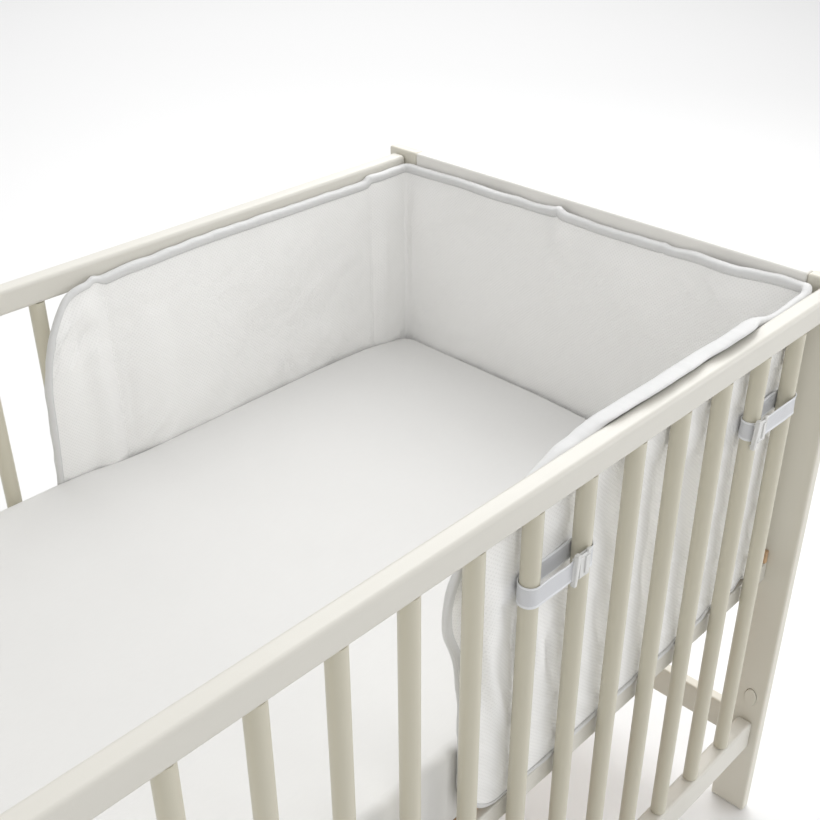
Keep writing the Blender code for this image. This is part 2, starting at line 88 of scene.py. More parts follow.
# The bumper's line in plan, and the outline of its sheet
SHEET_LINE_Y = 0.304
SHEET_LINE_X = 0.600
FAR_END_X = 0.0195
NEAR_END_X = 0.0255
FAR_CORNER_RADIUS = 0.008
NEAR_CORNER_RADIUS = 0.022
SHEET_BOTTOM = 0.4245
END_BAR_START = 0.555
END_BAR_END = 1.215
END_BAR_RAMP = 0.020
END_BAR_RISE = 0.0078
LOW_EDGE_WAVE = 0.0004
LOW_EDGE_WAVE_LENGTH = 0.203
EDGE_HALF = 0.0025
BODY_HALF = 0.0038
FOLD_SHARPNESS = 1.2
TOP_CORNER = (0.075, 0.125)
LOW_CORNER = (0.060, 0.070)
SEAMS = (0.091, 0.509, 1.665)
CORNER_CREASES = (0.580,)
FADE_LOW = 0.500
FADE_HIGH = 0.545
BULGE_FADE = 0.040

# Height of the bumper's top edge below the top of the rails, by distance along the bumper
TOP_EDGE = (
    # distance, height
    (0.000, -0.019), (0.091, -0.019), (0.130, -0.016), (0.227, -0.013), (0.400, -0.014),
    (0.501, -0.015), (0.509, -0.010), (0.578, -0.010), (0.610, -0.009), (0.717, -0.007),
    (0.817, -0.008), (0.848, -0.005), (0.880, -0.009), (0.909, -0.010), (0.994, -0.009),
    (1.073, -0.006), (1.161, -0.003), (1.200, -0.004), (1.255, -0.007), (1.300, 0.001),
    (1.340, 0.004), (1.420, 0.003), (1.470, 0.005), (1.550, 0.002), (1.600, -0.005),
    (1.665, -0.012), (1.760, -0.016),
)

# Soft folds of the standing sheet. Depth is towards the mattress, lean tilts the fold.
FOLDS = (
    # distance, half width, height, half height, depth, lean
    (0.010, 0.075, 0.690, 0.180, 0.0120, 0.00), (0.050, 0.022, 0.745, 0.035, 0.0040, 0.45),
    (0.063, 0.018, 0.712, 0.030, -0.0030, -0.40), (0.118, 0.026, 0.640, 0.120, -0.0010, 0.05),
    (0.190, 0.060, 0.575, 0.060, 0.0035, 0.80), (0.330, 0.090, 0.700, 0.100, 0.0030, 0.10),
    (0.420, 0.050, 0.580, 0.050, 0.0035, -0.60), (0.540, 0.030, 0.690, 0.150, 0.0030, 0.02),
    (0.612, 0.030, 0.720, 0.090, 0.0035, 0.10), (0.735, 0.070, 0.780, 0.070, 0.0040, 0.10),
    (0.850, 0.030, 0.770, 0.060, 0.0055, 0.05), (0.935, 0.060, 0.785, 0.050, -0.0009, 0.00),
    (0.960, 0.080, 0.700, 0.110, 0.0045, -0.10), (1.090, 0.060, 0.760, 0.090, 0.0070, -0.15),
    (1.120, 0.045, 0.620, 0.080, 0.0035, 0.20), (1.340, 0.075, 0.800, 0.050, 0.0060, 0.00),
    (1.470, 0.080, 0.790, 0.060, 0.0050, 0.00), (1.420, 0.060, 0.640, 0.120, 0.0040, 0.10),
    (1.560, 0.060, 0.720, 0.100, 0.0040, 0.25), (1.631, 0.026, 0.595, 0.065, -0.0045, 0.05),
    (1.703, 0.026, 0.665, 0.110, -0.0050, -0.06), (1.745, 0.045, 0.640, 0.110, 0.0100, -0.12),
)

# Swells and creases that only the cloth shows, in the same columns as the folds
CREASES = (
    # distance, half width, height, half height, depth, lean
    (0.000, 0.100, 0.620, 0.260, 0.0080, 0.00), (0.066, 0.025, 0.630, 0.250, 0.0105, 0.00),
    (0.138, 0.042, 0.620, 0.190, 0.0070, 0.00), (0.116, 0.016, 0.610, 0.110, 0.0050, 0.05),
    (0.030, 0.010, 0.735, 0.024, 0.0042, 1.20), (0.045, 0.009, 0.716, 0.022, -0.0034, 0.90),
    (0.060, 0.009, 0.698, 0.026, 0.0042, 0.60), (0.072, 0.008, 0.676, 0.022, -0.0020, 0.40),
    (0.030, 0.012, 0.694, 0.020, 0.0026, 0.90), (0.050, 0.010, 0.665, 0.024, 0.0020, 0.70),
    (0.205, 0.110, 0.630, 0.200, 0.0060, 0.00), (0.528, 0.019, 0.670, 0.180, 0.0034, 0.00),
    (0.128, 0.014, 0.566, 0.034, 0.0044, 1.10), (0.148, 0.012, 0.560, 0.030, -0.0026, 1.00),
    (0.112, 0.012, 0.590, 0.026, 0.0020, 1.20), (0.338, 0.008, 0.566, 0.042, 0.0060, -0.30),
    (0.353, 0.007, 0.560, 0.034, -0.0036, -0.40), (0.323, 0.007, 0.558, 0.026, 0.0028, -0.10),
    (0.560, 0.010, 0.740, 0.060, 0.0014, 0.00), (0.596, 0.007, 0.680, 0.120, 0.0022, 0.03),
    (0.848, 0.010, 0.750, 0.030, 0.0018, 0.20), (0.866, 0.009, 0.745, 0.030, -0.0012, 0.50),
    (0.840, 0.012, 0.690, 0.060, 0.0014, 0.00), (1.040, 0.014, 0.742, 0.030, 0.0034, -0.60),
    (1.075, 0.012, 0.752, 0.026, 0.0026, -0.80), (1.120, 0.010, 0.740, 0.032, 0.0034, 0.80),
    (1.140, 0.009, 0.725, 0.035, -0.0022, 0.60), (1.155, 0.010, 0.705, 0.032, 0.0028, 0.70),
    (1.470, 0.080, 0.790, 0.060, -0.0046, 0.00), (1.340, 0.070, 0.800, 0.050, -0.0052, 0.00),
    (1.450, 0.016, 0.560, 0.080, 0.0030, 0.20), (1.530, 0.014, 0.550, 0.070, 0.0034, 0.30),
    (1.610, 0.014, 0.560, 0.090, 0.0060, 0.35), (1.640, 0.011, 0.600, 0.080, -0.0022, 0.25),
    (1.662, 0.010, 0.600, 0.100, 0.0055, 0.10), (1.690, 0.013, 0.570, 0.100, -0.0030, 0.30),
    (1.712, 0.011, 0.600, 0.110, 0.0085, 0.20),
)

# The near side's cloth lies over its rail's edge, and is dented by the spindles beside it
NEAR_RUN_START = 1.215
OVER_RAIL_START = 1.270
OVER_RAIL_END = 1.660
OVER_RAIL_RAMP = 0.060
RAIL_LEAN = 0.0085
RAIL_LIFT = 0.0014
FIRST_SPINDLE_X = 0.5415
SPINDLE_PITCH = 0.0722
SPINDLE_DENT = 0.0014

# The near end's outline slants: its foot hangs in and its shoulder stands out
END_DRAW_REACH = 0.110
END_DRAW_EASE = 0.090
END_DRAW_FOOT = 0.0185
END_DRAW_SHOULDER = 0.0095
END_DRAW_FOOT_TOP = 0.697
END_DRAW_SHOULDER_LOW = 0.675
END_DRAW_SHOULDER_TOP = 0.785

# The sheet ends this much further along the far side than its solid does
FAR_TUCK = 0.008

# Where the cloth's foot is drawn up between two spindles of the near side
FOOT_LIFTS = (
    # distance, half width, height
    (1.2355, 0.018, 0.0090), (1.3075, 0.020, 0.0075), (1.3735, 0.018, 0.0040),
    (1.4445, 0.018, 0.0028), (1.5135, 0.020, 0.0018),
)

# Where the cloth's head stands higher than its solid: at seams, at the near corner and past it
HEAD_LIFTS = (
    # distance, half width, height
    (0.0790, 0.011, 0.0030), (0.8460, 0.011, 0.0035), (0.9980, 0.006, 0.0014),
    (1.1850, 0.020, 0.0040), (1.3180, 0.030, 0.0020), (1.3600, 0.045, 0.0030),
)

PAD_STEP = 0.0072
PAD_FINE_STEP = 0.0035
PAD_FINE_REACH = 0.012
PAD_ROWS = 64
PAD_END_STEPS = 18
SEAM_HALF_WIDTH = 0.007
SEWN_FADE = 0.012
SEAM_HALF = 0.0025
PAD_PRESSURE = 4.0
PAD_FRAMES = 20
PAD_SPRING_REACH = 0.012
PAD_SPRING_STIFFNESS = 4.0
PAD_QUALITY = 5
PAD_SLIDE = 0.0015
PAD_ROOM_AT_SPINDLES = 0.0015
PAD_ROOM_AT_RAIL = 0.0003
RIM_FLAT = 0.010
RIM_RISE = 0.030

# Satin tape folded over the rim
TAPE_REACH = 0.0102
TAPE_LOW_REACH = 0.0042
TAPE_HALF = 0.0040
TAPE_CROWN = 0.0015
TAPE_WALL = 0.0008
TAPE_STEP = 0.004
TAPE_ARC_STEPS = 10
TAPE_FLAT_STEPS = 4
TAPE_HEM_PRESS = 0.0006
TAPE_BULGE = 0.0022
TAPE_END_SHARE = 0.30
TAPE_THIN = 0.76
TAPE_PLUMP = 0.80
TAPE_STEP_PLACE = 0.093
TAPE_STEP_RAMP = 0.009

# Mattress
MATTRESS_CORNER = 0.024
MATTRESS_EDGE = 0.010
MATTRESS_CLEARANCE = 0.0012

# Straps and clips
STRAP_WIDTH = 0.022
STRAP_THICKNESS = 0.0012
STRAP_HEIGHT = 0.682
STRAP_STEP = 0.003
STRAP_ROWS = 11
STRAP_BEAD = 0.0006
CLIP_LENGTH = 0.024
CLIP_WALL = 0.002
CLIP_BAR = (0.0056, 0.0032, 0.036)

# Oval cover caps over the bolts, on the inner faces of the legs
CAP_RADIUS = 0.0085
CAP_STRETCH = 1.75
CAP_HEIGHT = 0.0020
CAP_PLACE = (0.6055, 0.3200, 0.204)

# Raw slats, the strips that join them, and corner blocks on the base rails against the legs
SLAT_COUNT = 12
SLAT_SHARE = 0.55
SLAT_STRIP = 0.022
BLOCK_LOW = (0.5992, 0.3005, 0.4223)
BLOCK_HIGH = (0.6050, 0.3072, 0.4400)

# Square soft lamps
LAMPS = (
    # name, place, aim, size, power in watts
    ("overhead", (1.3, 0.2, 2.6), (0.8, 0.0, 0.5), 2.6, 25.0),
    ("back_light", (2.2, 1.1, 2.3), (0.4, 0.0, 0.7), 1.8, 15.0),
    ("right_side", (2.6, -2.4, 1.4), (0.2, 0.0, 0.6), 1.8, 25.0),
    ("floor_wash", (3.5, 3.5, 3.5), (3.3, 3.3, 0.0), 6.0, 140.0),
    ("foot_fill", (-3.0, 0.5, 2.2), (0.0, 0.0, 0.6), 2.0, 6.0),
    ("camera_fill", (-1.6, -2.9, 2.2), (0.2, 0.0, 0.6), 2.0, 20.0),
)


def colour_setting(name, description, default):
    return FloatVectorProperty(
        name=name, description=description, default=default, size=3, min=0.0, max=1.0,
        subtype="COLOR",
    )


def length_setting(name, description, default, least, most):
    return FloatProperty(
        name=name, description=description, default=default, min=least, max=most, precision=4,
        subtype="DISTANCE", unit="LENGTH",
    )


class BumperSettings(bpy.types.PropertyGroup):
    """Sizes and colours of the padded sheet, its tape, its straps and its clips."""

    weave_pitch: length_setting(
        "Weave pitch", "Spacing of the rows of holes in the spacer mesh",
        0.0046, 0.0008, 0.008,
    )
    stitch_length: length_setting(
        "Stitch length", "Length of one stitch and the gap after it",
        0.0035, 0.001, 0.01,
    )
    puff: length_setting(
        "Puff", "How far the padding may lift the cloth beyond its rest shape",
        0.0040, 0.0005, 0.008,
    )
    slack: FloatProperty(
        name="Slack", description="Share by which the cloth is cut larger than its sewn edges",
        default=0.010, min=0.0, max=0.05, precision=3, subtype="FACTOR",
    )
    lumps: length_setting(
        "Tape lumps", "Unevenness of the tape where it is folded over the rim",
        0.0013, 0.0, 0.003,
    )
    mesh_colour: colour_setting(
        "Mesh colour", "Colour of the spacer mesh's ribs", (0.945, 0.94, 0.925)
    )
    tape_colour: colour_setting(
        "Tape colour", "Colour of the satin tape round the rim", (0.71, 0.71, 0.705)
    )
    webbing_colour: colour_setting(
        "Webbing colour", "Colour of the straps", (0.75, 0.76, 0.785)
    )
    clip_colour: colour_setting(
        "Clip colour", "Colour of the moulded clips", (0.72, 0.72, 0.705)
    )


class CribSettings(bpy.types.PropertyGroup):
    """Finish of the crib and of what lies in it."""

    board_rounding: length_setting(
        "Board rounding", "Radius of the edges of rails, legs and panels",
        0.004, 0.0005, 0.009,
    )
    spindle_sides: IntProperty(
        name="Spindle sides", description="Sides of each round spindle", default=28, min=8, max=64,
    )
    paint_colour: colour_setting(
        "Rail colour", "Colour of the off-white paint on the long rails", (0.70, 0.68, 0.62)
    )
    # The end panels carry the rails' off-white paint made lighter: painted light where light from
    # above falls on their inner faces
    panel_colour_lit: colour_setting(
        "Panel colour", "Colour of the paint on the end panels", (0.84, 0.825, 0.785)
    )
    # Legs and crossbars carry the same off-white paint made darker and warmer: painted shade and
    # warm bounce light
    leg_colour_shaded: colour_setting(
        "Leg colour", "Colour of the warmer paint on legs and crossbars", (0.72, 0.69, 0.60)
    )
    # The spindles carry the same off-white paint made darker and warmer: painted shade and warm
    # bounce light
    spindle_colour_shaded: colour_setting(
        "Spindle colour", "Colour of the paint on the round spindles", (0.62, 0.587, 0.475)
    )
    pine_colour: colour_setting(
        "Pine colour", "Colour of the unpainted slats", (0.66, 0.44, 0.26)
    )
    sheet_colour: colour_setting(
        "Sheet colour", "Colour of the mattress's fitted sheet", (0.80, 0.795, 0.78)
    )


class StageSettings(bpy.types.PropertyGroup):
    """Floor, light and camera."""

    floor_colour: colour_setting(
        "Floor colour", "Colour of the plain floor", (0.86, 0.86, 0.86)
    )
    sky_strength: FloatProperty(
        name="Surrounding light", description="Strength of the even light from all round",
        default=0.53, min=0.0, max=5.0,
    )
    lamp_strength: FloatProperty(
        name="Lamps", description="Strength of all the soft lamps together",
        default=1.0, min=0.0, max=10.0,
    )
    camera_place: FloatVectorProperty(
        name="Camera place", description="Where the camera stands",
        default=(-0.5017, -0.7743, 1.3101), size=3, subtype="TRANSLATION", unit="LENGTH",
    )
    camera_yaw: FloatProperty(
        name="Camera heading", description="Direction of view in plan, from +X towards +Y",
        default=math.radians(44.212), subtype="ANGLE", unit="ROTATION",
    )
    camera_pitch: FloatProperty(
        name="Camera tilt", description="Angle of the view below the horizon",
        default=math.radians(30.890), subtype="ANGLE", unit="ROTATION",
    )
    camera_roll: FloatProperty(
        name="Camera roll", description="Turn of the picture about the view",
        default=math.radians(0.287), subtype="ANGLE", unit="ROTATION",
    )
    lens: FloatProperty(
        name="Lens", description="Focal length for a 36 mm wide picture, in millimetres",
        default=50.70, min=10.0, max=300.0,
    )


# Shader nodes as Python expressions


class Wire:
    """A shader value in an expression. Each operator adds the Math node that it stands for."""

    def __init__(self, finish, socket):
        self.finish = finish
        self.socket = socket

    def output(self, name):
        """Another output of the node that this value comes from."""
        return Wire(self.finish, self.socket.node.outputs[name])

    def maths(self, operation, *values):
        sockets = dict(enumerate(values))
        return self.finish.node("ShaderNodeMath", {"operation": operation}, sockets)

    def __add__(self, other):
        return self.maths("ADD", self, other)

    def __radd__(self, other):
        return self.maths("ADD", other, self)

    def __sub__(self, other):
        return self.maths("SUBTRACT", self, other)

    def __rsub__(self, other):
        return self.maths("SUBTRACT", other, self)

    def __mul__(self, other):
        return self.maths("MULTIPLY", self, other)

    def __rmul__(self, other):
        return self.maths("MULTIPLY", other, self)

    def __truediv__(self, other):
        return self.maths("DIVIDE", self, other)

    def __rtruediv__(self, other):
        return self.maths("DIVIDE", other, self)

    def __abs__(self):
        return self.maths("ABSOLUTE", self)

    def cosine(self):
        return self.maths("COSINE", self)

    def fraction(self):
        return self.maths("FRACT", self)

    def larger(self, other):
        return self.maths("MAXIMUM", self, other)

    def eased(self, low, high):
        """From 0 at low to 1 at high, softly."""
        settings = {"interpolation_type": "SMOOTHSTEP"}
        return self.finish.node(
            "ShaderNodeMapRange", settings, {"Value": self, "From Min": low, "From Max": high}
        )


class Finish:
    """A material being made: procedural nodes that feed one Principled shader."""

    def __init__(self, name, constants):
        self.material = bpy.data.materials.new(name)
        self.material.use_nodes = True
        self.tree = self.material.node_tree
        self.shader = self.tree.nodes["Principled BSDF"]
        for socket, value in constants.items():
            self.shader.inputs[socket].default_value = value

    def node(self, kind, settings, values, output=0):
        """One output of a new node with these settings and its sockets' values or links."""
        made = self.tree.nodes.new(kind)
        for name, value in settings.items():
            setattr(made, name, value)
        for name, value in values.items():
            if isinstance(value, Wire):
                self.tree.links.new(value.socket, made.inputs[name])
            else:
                made.inputs[name].default_value = value
        return Wire(self, made.outputs[output])

    def feed(self, socket, wire):
        self.tree.links.new(wire.socket, self.shader.inputs[socket])

    def place(self, kind="Object"):
        """Coordinates of the surface: Object, or UV for cloth laid out flat. In metres."""
        return self.node("ShaderNodeTexCoord", {}, {}, kind)

    def axes(self, place):
        first = self.node("ShaderNodeSeparateXYZ", {}, {"Vector": place}, "X")
        return first, first.output("Y"), first.output("Z")

    def stretched(self, place, scale):
        return self.node("ShaderNodeMapping", {}, {"Vector": place, "Scale": scale})

    def speckle(self, place, scale, detail=3.0):
        return self.node(
            "ShaderNodeTexNoise", {}, {"Vector": place, "Scale": scale, "Detail": detail}
        )

    def mixed(self, share, first, second):
        """A colour between two, each a colour tuple or a wire."""
        values = {"Factor": share, 6: first, 7: second}
        return self.node("ShaderNodeMix", {"data_type": "RGBA"}, values, 2)

    def bump(self, height, distance, strength=1.0):
        values = {"Height": height, "Distance": distance, "Strength": strength}
        self.feed("Normal", self.node("ShaderNodeBump", {}, values))


def rgba(colour, shade=1.0):
    return (colour[0] * shade, colour[1] * shade, colour[2] * shade, 1.0)


def stitches(across, along, place, length, width=0.0009):
    """1 on the thread of a row of stitches that runs at one place across, else 0."""
    on_line = 1 - abs(across - place).eased(width * 0.45, width * 0.75)
    thread = abs((along / length).fraction() - 0.5)
    return on_line * (1 - thread.eased(0.30, 0.36))


def mesh_finish(settings):
    """White spacer mesh: a close net of small holes, with stitched upright seams."""
    finish = Finish("spacer_mesh_cloth", {"Sheen Weight": 0.2, "Sheen Roughness": 0.5})
    flat = finish.place("UV")
    along, up, _ = finish.axes(flat)
    turn = 2 * math.pi / settings.weave_pitch
    hole = ((along * turn).cosine() * (up * turn).cosine()).eased(0.05, 0.95)
    thread = stitches(along, up, SEAMS[0], settings.stitch_length)
    for seam in SEAMS[1:]:
        thread = thread.larger(stitches(along, up, seam, settings.stitch_length))
    cloudy = finish.speckle(flat, 9.0)
    rib = finish.mixed(cloudy, rgba(settings.mesh_colour), rgba(settings.mesh_colour, 0.955))
    netted = finish.mixed(hole * (1 - thread), rib, rgba(settings.mesh_colour, 0.915))
    finish.feed("Base Color", finish.mixed(thread, netted, rgba(settings.mesh_colour, 1.06)))
    finish.feed("Roughness", 0.82 + hole * 0.14 - thread * 0.25)
    fuzz = finish.speckle(flat, 1400.0)
    finish.bump(fuzz * 0.12 - hole * (1 - thread) + thread * 1.2, 0.0002)
    return finish.material


def tape_finish(settings, width):
    """Satin tape: fine twill, soft gathers across it, and a row of stitches by each hem."""
    finish = Finish("satin_tape", {"Sheen Weight": 0.1, "Sheen Roughness": 0.4})
    flat = finish.place("UV")
    along, across, _ = finish.axes(flat)
    thread = stitches(across, along, 0.0021, settings.stitch_length)
    thread = thread.larger(stitches(across, along, width - 0.0021, settings.stitch_length))
    twill = ((along + across) * (2 * math.pi / 0.0007)).cosine()
    gathers = finish.speckle(finish.stretched(flat, (150.0, 28.0, 1.0)), 1.0, 2.0)
    body = finish.mixed(gathers, rgba(settings.tape_colour), rgba(settings.tape_colour, 0.95))
    finish.feed("Base Color", finish.mixed(thread, body, rgba(settings.tape_colour, 0.86)))
    finish.feed("Roughness", 0.46 + gathers * 0.16 + thread * 0.2)
    finish.bump(gathers * 1.0 + twill * 0.03 + thread * 0.25, 0.0009, 0.7)
    return finish.material


def webbing_finish(settings):
    """Woven webbing: cross ribs between two smooth selvedges, paler both as their own weave and as
    a painted highlight along the edges.
    """
    finish = Finish("strap_webbing", {"Sheen Weight": 0.1, "Sheen Roughness": 0.5})
    along, across, _ = finish.axes(finish.place("UV"))
    edge = abs(across - STRAP_WIDTH / 2).eased(STRAP_WIDTH / 2 - 0.0026, STRAP_WIDTH / 2 - 0.0020)
    zigzag = abs((across / 0.003).fraction() - 0.5)
    rib = ((along + zigzag * 0.0016) * (2 * math.pi / 0.0011)).cosine() * 0.5 + 0.5
    woven = finish.mixed(rib, rgba(settings.webbing_colour, 0.90), rgba(settings.webbing_colour))
    # Paler selvedges: partly the edge weave, partly a painted highlight where the strap's edges
    # catch the light
    finish.feed("Base Color", finish.mixed(edge, woven, rgba(settings.webbing_colour, 1.12)))
    finish.feed("Roughness", 0.72 - edge * 0.15 + rib * 0.08)
    finish.bump(rib * (1 - edge) + edge * 1.3, 0.00022)
    return finish.material


def plastic_finish(settings):
    """Glossy moulded plastic with a faint ripple from the mould."""
    finish = Finish("clip_plastic", {"Coat Roughness": 0.15})
    place = finish.place()
    ripple = finish.speckle(place, 260.0)
    scuffs = finish.speckle(place, 1900.0).eased(0.55, 0.75)
    finish.feed(
        "Base Color",
        finish.mixed(ripple, rgba(settings.clip_colour), rgba(settings.clip_colour, 0.97)),
    )
    finish.feed("Roughness", 0.20 + scuffs * 0.14 + ripple * 0.05)
    finish.bump(ripple, 0.00012)
    return finish.material


def sheet_finish(settings):
    """Cotton sheet: a fine plain weave with slubs and a soft, slightly creased surface."""
    finish = Finish("fitted_sheet_cotton", {"Sheen Weight": 0.12, "Sheen Roughness": 0.5})
    place = finish.place()
    x, y, z = finish.axes(place)
    turn = 2 * math.pi / 0.0011
    weave = (x * turn).cosine() * (y * turn + z * turn).cosine()
    slubs = finish.speckle(finish.stretched(place, (60.0, 900.0, 900.0)), 1.0)
    creases = finish.speckle(place, 11.0, 4.0)
    # Darker where the slubs and creases rise: the yarn's own tone, and painted shade along the
    # creases
    shade = slubs * 0.5 + creases * 0.5
    slub_tone_and_crease_shade = rgba(settings.sheet_colour, 0.95)
    finish.feed("Base Color", finish.mixed(shade, rgba(settings.sheet_colour), slub_tone_and_crease_shade))
    finish.feed("Roughness", 0.80 + slubs * 0.14)
    finish.bump(weave * 0.06 + slubs * 0.10 + creases * 0.9, 0.0016, 0.6)
    return finish.material


GRAIN_SCALES = {"x": (9.0, 260.0, 260.0), "y": (260.0, 9.0, 260.0), "z": (260.0, 260.0, 9.0)}


def paint_finish(name, colour, grain):
    """Satin paint over timber: faint brush lines along the grain, and a softly uneven gloss."""
    finish = Finish(name, {"Coat Roughness": 0.3})
    place = finish.place()
    brushed = finish.speckle(finish.stretched(place, GRAIN_SCALES[grain]), 1.0, 4.0)
    uneven = finish.speckle(place, 14.0)
    peel = finish.speckle(place, 900.0, 2.0)
    tint = finish.mixed(uneven * 0.6 + brushed * 0.4, rgba(colour), rgba(colour, 0.95))
    finish.feed("Base Color", tint)
    finish.feed("Roughness", 0.26 + uneven * 0.10 + brushed * 0.08)
    finish.bump(brushed * 0.7 + peel * 0.3, 0.0004, 0.45)
    return finish.material


def pine_finish(settings):
    """Planed pine: growth rings drawn out along the slats, fine pores and a dry surface."""
    finish = Finish("planed_pine", {})
    place = finish.place()
    drawn = finish.stretched(place, (14.0, 1.6, 14.0))
    wander = finish.speckle(drawn, 2.0)
    x, _, z = finish.axes(place)
    ring = (x * 210.0 + z * 120.0 + wander * 22.0).cosine() * 0.5 + 0.5
    pores = finish.speckle(finish.stretched(place, (1500.0, 60.0, 1500.0)), 1.0)
    grain = ring * 0.7 + pores * 0.3
    finish.feed(
        "Base Color",
        finish.mixed(grain, rgba(settings.pine_colour, 0.72), rgba(settings.pine_colour, 1.12)),
    )
    finish.feed("Roughness", 0.58 + pores * 0.25)
    finish.bump(grain, 0.0003)
    return finish.material


def floor_finish(settings):
    """A plain pale studio floor, faintly uneven."""
    finish = Finish("studio_floor", {})
    cloudy = finish.speckle(finish.place(), 0.7)
    finish.feed(
        "Base Color",
        finish.mixed(cloudy, rgba(settings.floor_colour), rgba(settings.floor_colour, 0.985)),
    )
    finish.feed("Roughness", 0.55 + cloudy * 0.1)
    return finish.material


# Making pieces


def keep(name, shape, material, replaces=()):
    """Turns the finished shape into a piece that rides with the crib and stands for CAD nodes."""
    mesh = bpy.data.meshes.new(name)
    shape.to_mesh(mesh)
    shape.free()
    mesh.materials.append(material)
    mesh.shade_smooth()
    piece = bpy.data.objects.new(name, mesh)
    bpy.context.scene.collection.objects.link(piece)
    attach(piece, "root")
    if replaces:
        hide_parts(*replaces)
    return piece


def even_normals(piece):
    """Shades flat faces flat and only their rounded edges round."""
    weighted = piece.modifiers.new("even shading", "WEIGHTED_NORMAL")
    weighted.mode = "FACE_AREA"
    weighted.weight = 80
    return piece


def round_edges(shape, edges, radius, segments, clamp=False):
    bmesh.ops.bevel(
        shape, geom=list(edges), offset=radius, offset_type="OFFSET", affect="EDGES",
        segments=segments, profile=0.5, material=-1, clamp_overlap=clamp,
    )


def edges_of(corners):
    return {edge for corner in corners for edge in corner.link_edges}


def is_level(edge):
    return edge.verts[0].co.z == edge.verts[1].co.z


def add_block(shape, low, high, rounding=0.0, segments=3):
    """A rounded block between two corners, added to the shape."""
    low = Vector(low)
    high = Vector(high)
    placed = Matrix.Translation((low + high) / 2) @ Matrix.Diagonal((*(high - low), 1.0))
    made = bmesh.ops.create_cube(shape, size=1.0, matrix=placed)
    if rounding:
        round_edges(shape, edges_of(made["verts"]), rounding, segments, clamp=True)


def smooth_step(value):
    value = min(1.0, max(0.0, value))
    return value * value * (3 - 2 * value)


def hump(value):
    """A soft hump, one at zero and nothing from one outwards."""
    if abs(value) >= 1:
        return 0.0
    return (0.5 + 0.5 * math.cos(math.pi * value)) ** FOLD_SHARPNESS


# The bumper's sheet, laid out flat as distance and height, and where it stands


def arc_cut(radius):
    return radius * (2 - math.pi / 2)


SHEET_LENGTH = (
    (SHEET_LINE_X - FAR_END_X) + 2 * SHEET_LINE_Y + (SHEET_LINE_X - NEAR_END_X)
    - arc_cut(FAR_CORNER_RADIUS) - arc_cut(NEAR_CORNER_RADIUS)
)


def turn(centre, radius, start_angle, distance):
    angle = start_angle - distance / radius
    point = Vector(centre) + Vector((math.cos(angle), math.sin(angle))) * radius
    return point, Vector((math.sin(angle), -math.cos(angle)))


def sheet_line(distance):
    """Plan point and travel direction at a distance along the bumper, from its far end."""
    far_run = SHEET_LINE_X - FAR_CORNER_RADIUS - FAR_END_X
    if distance <= far_run:
        return Vector((FAR_END_X + distance, SHEET_LINE_Y)), Vector((1, 0))
    distance -= far_run
    if distance <= FAR_CORNER_RADIUS * math.pi / 2:
        centre = (SHEET_LINE_X - FAR_CORNER_RADIUS, SHEET_LINE_Y - FAR_CORNER_RADIUS)
        return turn(centre, FAR_CORNER_RADIUS, math.pi / 2, distance)
    distance -= FAR_CORNER_RADIUS * math.pi / 2
    head_run = 2 * SHEET_LINE_Y - FAR_CORNER_RADIUS - NEAR_CORNER_RADIUS
    if distance <= head_run:
        start = SHEET_LINE_Y - FAR_CORNER_RADIUS
        return Vector((SHEET_LINE_X, start - distance)), Vector((0, -1))
    distance -= head_run
    if distance <= NEAR_CORNER_RADIUS * math.pi / 2:
        centre = (SHEET_LINE_X - NEAR_CORNER_RADIUS, NEAR_CORNER_RADIUS - SHEET_LINE_Y)
        return turn(centre, NEAR_CORNER_RADIUS, 0.0, distance)
    distance -= NEAR_CORNER_RADIUS * math.pi / 2
    start = SHEET_LINE_X - NEAR_CORNER_RADIUS
    return Vector((start - distance, -SHEET_LINE_Y)), Vector((-1, 0))


def from_end(distance):
    return min(distance + FAR_TUCK, SHEET_LENGTH - distance)


def lift(rows, distance):
    """Sum of the humps of an edge at a distance along the bumper."""
    return sum(height * hump((distance - place) / half) for place, half, height in rows)


def corner_drop(distance, corner):
    """How far an oval corner of the outline takes its edge back, at a distance from the end."""
    width, height = corner
    if distance >= width:
        return 0.0
    part = 1 - max(0.0, distance) / width
    return height * (1 - math.sqrt(1 - part * part))


def over_rail(distance):
    """1 where the cloth's top lies over the near rail's edge."""
    started = smooth_step((distance - OVER_RAIL_START) / OVER_RAIL_RAMP)
    return started * smooth_step((OVER_RAIL_END - distance) / OVER_RAIL_RAMP)


def top_height(distance):
    pairs = (pair for pair in zip(TOP_EDGE, TOP_EDGE[1:]) if distance <= pair[1][0])
    (start, low), (end, high) = next(pairs, TOP_EDGE[-2:])
    level = low + (high - low) * smooth_step((distance - start) / (end - start))
    level += lift(HEAD_LIFTS, distance) + RAIL_LIFT * over_rail(distance)
    return RAIL_TOP + level - corner_drop(from_end(distance), TOP_CORNER)


def low_height(distance):
    on_bar = smooth_step((distance - END_BAR_START) / END_BAR_RAMP)
    on_bar *= smooth_step((END_BAR_END - distance) / END_BAR_RAMP)
    uneven = LOW_EDGE_WAVE * (1 - math.cos(2 * math.pi * distance / LOW_EDGE_WAVE_LENGTH))
    uneven += lift(FOOT_LIFTS, distance)
    corner = corner_drop(from_end(distance), LOW_CORNER)
    return SHEET_BOTTOM + END_BAR_RISE * on_bar + uneven + corner


